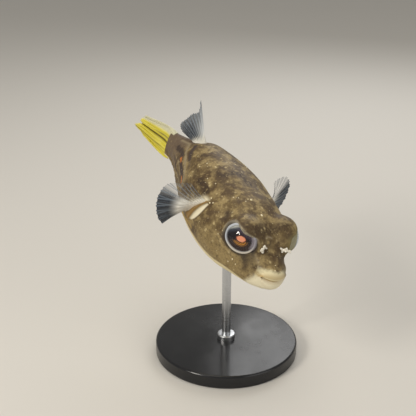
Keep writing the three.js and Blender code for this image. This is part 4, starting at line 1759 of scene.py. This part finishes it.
@dataclass
class MedianFin:
    """Dorsal or anal fin on the midline: its base and its control rays (place, lift, length)."""

    name: str
    body: BodyShape
    pose: Pose
    base: Pair
    rays: tuple
    upward: int
    ray_count: int
    milky_front: float
    root_depth: float = 1.5
    foot_depth: float = 0.6
    steps: int = 7

    def control_rays(self) -> Array:
        """Control rays from inside the body to the tips.

        Returns:
            Points of each ray, from root to tip.
        """
        rays = []
        for place, lift, length in self.rays:
            distance = self.base[0] + (self.base[1] - self.base[0]) * place
            foot = self.body.at(distance, 90.0 * self.upward, Side.LEFT)
            foot[2] -= self.upward * self.foot_depth
            angle = np.radians(lift)
            direction = self.body.back(np.array(distance)) * np.cos(angle)
            direction[2] += self.upward * np.sin(angle)
            reach = np.linspace(-self.root_depth, length, self.steps)
            rays.append(foot + direction * reach[:, None])
        return np.array(rays)

    def build(self, material: Material) -> None:
        """Makes the fin.

        Args:
            material: Its material.
        """
        fin = FanFin(self.name, "membrane", self.pose, self.control_rays(), self.ray_count)
        extra = {
            "clear": lambda u, v: 0.3 * eased(0.6, 1.0, v),
            "milky": lambda u, v: self.milky_front * eased(0.5, 0.05, u) * eased(1.15, 0.2, v),
        }
        fin.build(material, self.name, extra)


@dataclass
class TailFin:
    """Tail fin, half closed, its web folded between bundles of rays."""

    body: BodyShape
    pose: Pose
    root_half: float = 6.9
    edge_half: float = 4.9
    lengths: tuple = (19.2, 19.8, 20.5, 20.9, 21.0, 20.2, 22.4, 23.4, 23.4, 21.0, 17.5)
    swell: float = 1.2
    root_depth: float = 1.5
    folds: float = 2.5
    fold: float = 0.7
    steps: int = 7
    ray_count: int = 11

    def control_rays(self) -> Array:
        """Control rays from inside the body to the tips.

        Returns:
            Points of each ray, from root to tip.
        """
        back = self.body.back(np.array(self.body.length))
        left = self.body.left(np.array(self.body.length))
        root = self.body.spine(np.array(self.body.length)) + np.array([0, 0, self.body.sections[-1][1]])
        rays = []
        for i, length in enumerate(self.lengths):
            place = 1 - 2 * i / (len(self.lengths) - 1)
            wave = self.fold * np.sin(self.folds * 2 * np.pi * i / (len(self.lengths) - 1))
            share = np.linspace(0, 1, self.steps)
            half = self.root_half + (self.edge_half - self.root_half) * eased(0, 1, share)
            half = half + self.swell * np.sin(np.pi * share**0.7)
            reach = -self.root_depth + (length + self.root_depth) * share
            points = root + back * reach[:, None] + left * (wave * eased(0, 0.45, share))[:, None]
            points[:, 2] += place * half
            rays.append(points)
        return np.array(rays)

    def build(self, finish: TailSkin) -> None:
        """Makes the fin.

        Args:
            finish: Its finish.
        """
        fin = FanFin(
            "fin_caudal", "tail", self.pose, self.control_rays(), self.ray_count, root_half=1.5,
            web_half=0.12, ray_half=0.3, ray_width=0.3, scallop=0.03, ripple=0.2,
        )
        extra = {
            "white": lambda u, v: 0.9 * eased(0.26, 0.16, u) + 0.8 * eased(0.95, 0.99, v),
            # Painted shade in the folds between bundles of rays.
            "brown": lambda u, v: hill(u - 0.5, 0.04)
            + 0.7 * hill(u - 0.33, 0.025) * eased(0.6, 0.3, v)
            + 0.6 * hill(u - 0.73, 0.018) * eased(0.1, 0.4, v),
        }
        fin.build(finish.build(), "fin_caudal", extra)


@dataclass
class PectoralFin:
    """Pectoral fin: a fan whose base runs down the flank behind the gill cover."""

    side: Side
    body: BodyShape
    pose: Pose
    rays: tuple
    root_depth: float = 1.5
    rise: float = 2.6
    steps: int = 9
    ray_count: int = 11

    def control_rays(self) -> Array:
        """Control rays: each leaves the flank square to it and turns into its own direction.

        Returns:
            Points of each ray, from root to tip.
        """
        rays = []
        top, bottom = np.array(self.body.pectoral_root)
        for i, (out, back, up, length) in enumerate(self.rays):
            distance, height = top + (bottom - top) * (i / (len(self.rays) - 1))
            foot = self.body.at(distance, height, self.side)
            outward = unit(foot * np.array([0, 1, 1]))
            start = foot - outward * self.root_depth
            bend = foot + outward * self.rise
            tip = bend + unit(np.array([-back, self.side.value * out, up])) * length
            t = np.linspace(0, 1, self.steps)[:, None]
            rays.append((1 - t) ** 2 * start + 2 * t * (1 - t) * bend + t**2 * tip)
        return np.array(rays)

    def build(self, finish: FinSkin) -> None:
        """Makes the fin.

        Args:
            finish: Its finish.
        """
        name = "fin_pectoral_" + self.side.name.lower()
        fin = FanFin(
            name, "membrane", self.pose, self.control_rays(), self.ray_count, root_half=0.7,
            ray_width=0.14, scallop=0.025,
        )
        extra = {
            "clear": lambda u, v: eased(0.6, 0.42, u) * eased(0.15, 0.4, v),
            "milky": lambda u, v: np.clip(
                1.4 * np.maximum(hill(u - 0.7, 0.34) * eased(0.8, 0.42, v), eased(0.5, 0.15, v)), 0, 1
            ),
        }
        fin.build(finish.build(), name, extra)


# -------- eyes and feelers


@dataclass
class Eye:
    """One eye: a globe with its iris and pale ring, under a clear bulging cornea."""

    side: Side
    body: BodyShape
    pose: Pose
    globe_radius: float = 7.25
    cornea_radius: float = 7.4
    bulge: float = 0.85
    milkiness: float = 0.0
    ring_angle: float = 65.0
    ring_width_end: float = 5.6
    ring_drop: float = 0.5
    iris_rise: float = 0.75
    pupil_radius: float = 1.9
    lens_rise: float = 0.5
    columns: int = 96

    def place(self, local: Array) -> Array:
        """Carries points from the eye's own frame to the part's."""
        return self.pose.place(EyeSocket(self.side, self.body).place(local))

    def globe_profile(self) -> Array:
        """Profile from the back of the globe, over the pale ring and the iris, to the lens.

        Returns:
            Radius and height of each point.
        """
        back = np.radians(np.linspace(177, self.ring_angle, 40))
        outside = np.stack([np.sin(back), np.cos(back)], 1) * self.globe_radius
        edge = outside[-1]
        inner = np.array([self.ring_width_end, edge[1] - self.ring_drop])
        slope = np.linspace(0, 1, 10)[1:, None]
        ring = edge + (inner - edge) * slope
        ring[:, 1] += 0.25 * np.sin(np.pi * slope[:, 0])
        iris_r = np.linspace(self.ring_width_end, self.pupil_radius, 24)[1:]
        iris = np.stack([iris_r, inner[1] + self.iris_rise * eased(5.6, 2.0, iris_r)], 1)
        lens = np.radians(np.linspace(70, 3, 14))
        lens_r = np.sin(lens) * self.pupil_radius / np.sin(lens[0])
        cap = np.stack([lens_r, iris[-1, 1] + self.lens_rise * (np.cos(lens) - np.cos(lens[0]))], 1)
        return np.concatenate([outside, ring, iris, cap])

    def cornea_profile(self) -> Array:
        """Profile of the cornea, from under the rim to its middle."""
        outer = np.radians(np.linspace(80, 2, 44))
        outside = np.stack([np.sin(outer), np.cos(outer)], 1) * self.cornea_radius
        foot = self.cornea_radius * np.cos(np.radians(self.ring_angle))
        outside[:, 1] = foot + (outside[:, 1] - foot) * np.where(outside[:, 1] > foot, self.bulge, 1)
        return outside

    def build(self, inside: Material, cornea: Material) -> None:
        """Makes the globe and the cornea.

        Args:
            inside: Material of the globe.
            cornea: Material of the cornea.
        """
        word = self.side.name.lower()
        vertices, faces = closed_tube(lathe(*self.globe_profile().T, self.columns))
        globe = make_piece("eye_globe_" + word, self.place(vertices), faces, {"eye_mm": vertices})
        hand_in(globe, ["eye_" + word], inside)
        vertices, faces = closed_tube(lathe(*self.cornea_profile().T, self.columns))
        polar = np.degrees(np.arctan2(np.hypot(vertices[:, 0], vertices[:, 1]), vertices[:, 2]))
        haze = {
            "milky": self.milkiness * (0.22 * eased(4, 26, polar) + 0.68 * eased(34, 48, polar)),
            "olive": eased(36, 47, polar),
        }
        dome = make_piece("eye_cornea_" + word, self.place(vertices), faces, haze)
        hand_in(dome, [], cornea)


@dataclass
class Feeler:
    """Forked feeler over one nostril: soft knobs on a short stem, melted into one flesh."""

    side: Side
    pose: Pose
    knobs: tuple
    foot: Triple = (40.9, 4.4, 7.2)
    voxel: float = 0.13
    softening: float = 0.6
    soft_rounds: int = 9
    ball_rows: int = 14
    ball_columns: int = 20

    def build(self, material: Material) -> None:
        """Makes the feeler.

        Args:
            material: Its material.
        """
        balls, faces = [], []
        lift = np.linspace(-np.pi / 2, np.pi / 2, self.ball_rows)[1:-1]
        ball, ball_faces = closed_tube(lathe(np.cos(lift), np.sin(lift), self.ball_columns))
        for forward, outward, up, radius in self.knobs:
            centre = np.array(self.foot) + np.array([forward, outward, up])
            centre = centre * np.array([1, self.side.value, 1])
            faces += [[i + len(ball) * len(balls) for i in f] for f in ball_faces]
            balls.append(centre + ball * radius)
        name = "nasal_tentacle_" + self.side.name.lower()
        piece = make_piece(name + "_flesh", self.pose.place(np.concatenate(balls)), faces, {})
        melt = piece.modifiers.new("melt", "REMESH")
        melt.mode = "VOXEL"
        melt.voxel_size = self.voxel * METRES
        melt.use_smooth_shade = True
        soften = piece.modifiers.new("soften", "SMOOTH")
        soften.factor = self.softening
        soften.iterations = self.soft_rounds
        melted = piece.evaluated_get(bpy.context.evaluated_depsgraph_get())
        shape = bpy.data.meshes.new_from_object(melted)
        piece.modifiers.clear()
        piece.data = shape
        hand_in(piece, [name], material)


# -------- stand and studio


@dataclass
class DisplayStand:
    """Plain stand: a turned acrylic disc and a steel rod with a small collar; lengths in millimetres."""

    radius: float = 32.0
    height: float = 6.0
    bevel: float = 1.0
    foot_bevel: float = 0.4
    rod_radius: float = 2.0
    rod_top: float = 58.0
    collar_radius: float = 4.0
    collar_height: float = 2.4
    collar_bevel: float = 0.5
    disc_hub: float = 0.5
    rod_hub: float = 0.3
    crisp_angle: float = 40.0
    segments: int = 160

    def turned(self, profile: list[Pair]) -> tuple[Array, list]:
        """Vertices in metres and faces of a profile of radius and height turned upright."""
        vertices, faces = closed_tube(lathe(*np.array(profile).T, self.segments))
        return vertices * METRES, faces

    def rounded(self, radius: float, top: float, bevel: float, steps: int = 8) -> list[Pair]:
        """Profile points of a rounded upper edge.

        Args:
            radius: Radius of the turned piece.
            top: Height of its upper face.
            bevel: Radius of the rounding.
            steps: Number of points.

        Returns:
            The points, from the side to the upper face.
        """
        turns = np.linspace(0, np.pi / 2, steps)
        return [
            (radius - bevel + bevel * float(np.cos(a)), top - bevel + bevel * float(np.sin(a))) for a in turns
        ]

    def build(self) -> None:
        """Makes the disc and the rod."""
        foot = self.foot_bevel
        disc = [(self.disc_hub, 0.0), (self.radius - foot, 0.0), (self.radius, foot)]
        disc += self.rounded(self.radius, self.height, self.bevel) + [(self.disc_hub, self.height)]
        base = make_piece("stand_disc", *self.turned(disc), {})
        hand_in(base, ["stand_base"], CastAcrylic().build())
        low, collar_top = self.height, self.height + self.collar_height
        rod = [(self.rod_hub, low), (self.collar_radius, low)]
        rod += self.rounded(self.collar_radius, collar_top, self.collar_bevel)
        rod += [(self.rod_radius, collar_top), (self.rod_radius, self.rod_top), (self.rod_hub, self.rod_top)]
        piece = make_piece("stand_rod_and_collar", *self.turned(rod), {})
        hand_in(piece, ["stand_rod"], BrushedSteel().build())
        for made in (base, piece):
            crisp = made.modifiers.new("crisp", "EDGE_SPLIT")
            crisp.split_angle = np.radians(self.crisp_angle)


@dataclass(frozen=True)
class Panel:
    """Soft square light, placed from the fish along the camera's axes; millimetres and watts."""

    name: str
    right: float
    up: float
    toward: float
    size: float
    power: float
    colour: str


@dataclass
class Studio:
    """Pale floor, soft lights and the camera; lengths in millimetres."""

    azimuth: float = -24.24
    elevation: float = 22.7
    camera_distance: float = 356.7
    aim_right: float = 7.062
    aim_up: float = 1.182
    lens: float = 71.83
    sensor_width: float = 36.0
    clip_range: Pair = (0.01, 50.0)
    light_aim: Triple = (0.0, 0.0, 60.0)
    panels: tuple = (
        Panel("key", -420, 330, 330, 170, 1.9, "#fff9ef"),
        Panel("fill", 460, 220, 380, 420, 0.7, "#fbf8f4"),
        Panel("top", 0, 620, -60, 420, 1.2, "#fff8ec"),
        Panel("rim", 160, 330, -460, 300, 0.8, "#ffffff"),
    )
    surround_colour: str = "#e6e3dd"
    surround_strength: float = 0.45
    floor_size: float = 6000.0
    floor_colour: str = "#d4d1cb"

    def camera_axes(self) -> Array:
        """Right, up and backward axes of the camera, in rows."""
        a, e = np.radians(self.azimuth), np.radians(self.elevation)
        toward = np.array([np.sin(a) * np.cos(e), -np.cos(a) * np.cos(e), np.sin(e)])
        right = np.array([np.cos(a), np.sin(a), 0])
        return np.stack([right, np.cross(toward, right), toward])

    def camera(self, pose: Pose) -> None:
        """Places the camera in front of the fish, above it and to its right.

        Args:
            pose: Pose of the fish, which the camera is aimed from.
        """
        axes = self.camera_axes()
        place = np.array(pose.centre) - np.array([self.aim_right, self.aim_up, -self.camera_distance]) @ axes
        data = bpy.data.cameras.new("camera")
        data.lens = self.lens
        data.sensor_width = self.sensor_width
        data.clip_start, data.clip_end = self.clip_range
        camera = bpy.data.objects.new("camera", data)
        matrix = np.eye(4)
        matrix[:3, :3] = axes.T
        matrix[:3, 3] = place * METRES
        camera.matrix_world = Matrix(matrix.tolist())
        bpy.context.scene.collection.objects.link(camera)
        bpy.context.scene.camera = camera

    def light(self, panel: Panel) -> None:
        """Adds one soft light.

        Args:
            panel: Its place, size, power and colour.
        """
        axes = self.camera_axes()
        flat = unit(axes[2] * np.array([1, 1, 0]))
        target = np.array(self.light_aim)
        place = target + axes[0] * panel.right + np.array([0, 0, 1.0]) * panel.up + flat * panel.toward
        data = bpy.data.lights.new(panel.name, "AREA")
        data.shape = "SQUARE"
        data.size = panel.size * METRES
        data.energy = panel.power
        data.color = linear(panel.colour)[:3]
        lamp = bpy.data.objects.new(panel.name, data)
        back = unit(place - target)
        side = unit(np.cross([0, 0, 1.0], back))
        matrix = np.eye(4)
        matrix[:3, :3] = np.stack([side, np.cross(back, side), back]).T
        matrix[:3, 3] = place * METRES
        lamp.matrix_world = Matrix(matrix.tolist())
        bpy.context.scene.collection.objects.link(lamp)

    def floor(self) -> None:
        """Makes the plain pale floor."""
        half = self.floor_size * METRES / 2
        mesh = bpy.data.meshes.new("floor")
        corners = [(-half, -half, 0), (half, -half, 0), (half, half, 0), (-half, half, 0)]
        mesh.from_pydata(corners, [], [(0, 1, 2, 3)])
        floor = bpy.data.objects.new("floor", mesh)
        bpy.context.scene.collection.objects.link(floor)
        material, tree = new_material("pale_studio_paper")
        where = add_node(tree, "ShaderNodeTexCoord", {}, {}).outputs["Object"]
        noise = add_node(
            tree, "ShaderNodeTexNoise", {"Scale": 400.0, "Detail": 2.0}, {"Vector": where}
        ).outputs["Fac"]
        gloss = add_node(tree, "ShaderNodeMapRange", {3: 0.75, 4: 0.9}, {"Value": noise})
        paper = add_node(
            tree, "ShaderNodeBsdfPrincipled", {"Base Color": linear(self.floor_colour)},
            {"Roughness": gloss.outputs[0]},
        )
        add_node(tree, "ShaderNodeOutputMaterial", {}, {"Surface": paper.outputs[0]})
        mesh.materials.append(material)

    def build(self, pose: Pose) -> None:
        """Sets up the camera, the lights, the surroundings and the floor.

        Args:
            pose: Pose of the fish.
        """
        self.camera(pose)
        for panel in self.panels:
            self.light(panel)
        world = bpy.data.worlds.new("studio")
        world.use_nodes = True
        surround = world.node_tree.nodes["Background"].inputs
        surround["Color"].default_value = linear(self.surround_colour)
        surround["Strength"].default_value = self.surround_strength
        bpy.context.scene.world = world
        self.floor()
        bpy.context.scene.view_settings.view_transform = "Standard"


# -------- the whole model


# Each control ray of a median fin: place along the base, degrees above straight back, length.
DORSAL_RAYS = (
    (0, 47, 19.9), (0.14, 43, 14.8), (0.32, 30, 15.0), (0.5, 18, 14.6), (0.68, 6, 14.9), (0.84, 2, 12.6),
    (1, 0, 8.4),
)
ANAL_RAYS = ((0, 42, 11.2), (0.2, 32, 11.0), (0.4, 24, 10.4), (0.6, 17, 9.6), (0.8, 12, 8.4), (1, 8, 7.0))
# Each control ray of a pectoral fin: how far it points out, back and up, and its length.
PECTORAL_RAYS = {
    Side.RIGHT: (
        (0.05, 0.98, 0.05, 9.5), (0.1, 0.98, 0.08, 10.5), (0.24, 0.95, 0.12, 11.0), (0.6, 0.77, 0.17, 12.6),
        (0.85, 0.52, -0.02, 12.8), (0.92, 0.28, -0.24, 12.2), (0.85, 0.08, -0.5, 11.2),
        (0.68, -0.02, -0.72, 9.6),
    ),
    Side.LEFT: (
        (0.3, 0.93, 0.18, 10.0), (0.37, 0.87, 0.32, 11.3), (0.48, 0.68, 0.54, 12.8), (0.59, 0.49, 0.64, 14.0),
        (0.74, 0.36, 0.57, 13.5), (0.85, 0.26, 0.45, 11.8), (0.95, 0.23, 0.2, 11.0), (0.98, 0.15, 0.03, 10.0),
    ),
}
FEELER_KNOBS = {
    # forward, outward and up from the foot, radius
    Side.RIGHT: (
        (-0.1, 0.2, -0.2, 0.55), (-0.1, 0.3, 0.3, 0.5), (-0.1, 0.5, 0.75, 0.5), (0.1, 1.0, 0.95, 0.64),
        (0.3, 1.6, 0.85, 0.48), (-0.2, 1.1, 1.35, 0.42), (-0.3, 0.3, 1.3, 0.5), (-0.6, -0.1, 1.85, 0.66),
        (-0.35, 0.4, 2.2, 0.44), (-1.0, -0.3, 2.05, 0.46), (-0.5, -0.6, 1.5, 0.42), (-0.5, -1.1, 1.35, 0.42),
    ),
    Side.LEFT: (
        (0.0, 0.0, -0.2, 0.55), (0.0, 0.0, 0.35, 0.5), (-0.3, -0.4, 0.85, 0.5), (-0.5, -0.75, 1.1, 0.42),
        (0.15, 0.55, 0.8, 0.6), (0.3, 1.15, 1.0, 0.62), (0.1, 1.5, 1.5, 0.42), (0.7, 1.7, 0.9, 0.55),
        (1.1, 2.2, 0.75, 0.52), (1.5, 2.7, 0.65, 0.46), (1.2, 2.5, 1.25, 0.36), (0.9, 0.9, 0.5, 0.4),
    ),
}


def main() -> None:
    """Builds the model, piece by piece."""
    logging.basicConfig(level=logging.INFO, format="%(name)s: %(message)s")
    pose, body = Pose(), BodyShape()
    Studio().build(pose)
    skin = Skin(body, pose)
    hide = skin.build(PufferSkin())
    Papillae(body, skin.columns).build(hide, WetPapilla())
    smoky = FinSkin(
        "fin_web_clear_skin", web="#1b222d", ray="#7b8692", root="#e9e6da", milk="#dfe3e4",
        web_solid=0.8, ray_solid=0.85, root_from=-0.05, root_to=0.2,
    ).build()
    MedianFin(
        "fin_dorsal", body, pose, body.dorsal_base, DORSAL_RAYS, upward=1, ray_count=12, milky_front=0.9
    ).build(smoky)
    MedianFin(
        "fin_anal", body, pose, body.anal_base, ANAL_RAYS, upward=-1, ray_count=10, milky_front=0.3
    ).build(smoky)
    TailFin(body, pose).build(TailSkin())
    fan = FinSkin(
        "fan_web_clear_skin", web="#171d27", ray="#6f7b88", root="#f4f1e6", milk="#f6f5ee",
        web_solid=0.85, ray_solid=0.9, root_from=-0.08, root_to=0.16,
    )
    for side in Side:
        PectoralFin(side, body, pose, PECTORAL_RAYS[side]).build(fan)
    inside, cornea, flesh = EyeInside().build(), ClearCornea().build(), PaleFlesh().build()
    Eye(Side.RIGHT, body, pose).build(inside, cornea)
    Eye(Side.LEFT, body, pose, cornea_radius=7.75, bulge=1.0, milkiness=1.0).build(inside, cornea)
    for side in Side:
        Feeler(side, pose, FEELER_KNOBS[side]).build(flesh)
    DisplayStand().build()
    bpy.context.view_layer.update()


if __name__ == "__main__":
    main()
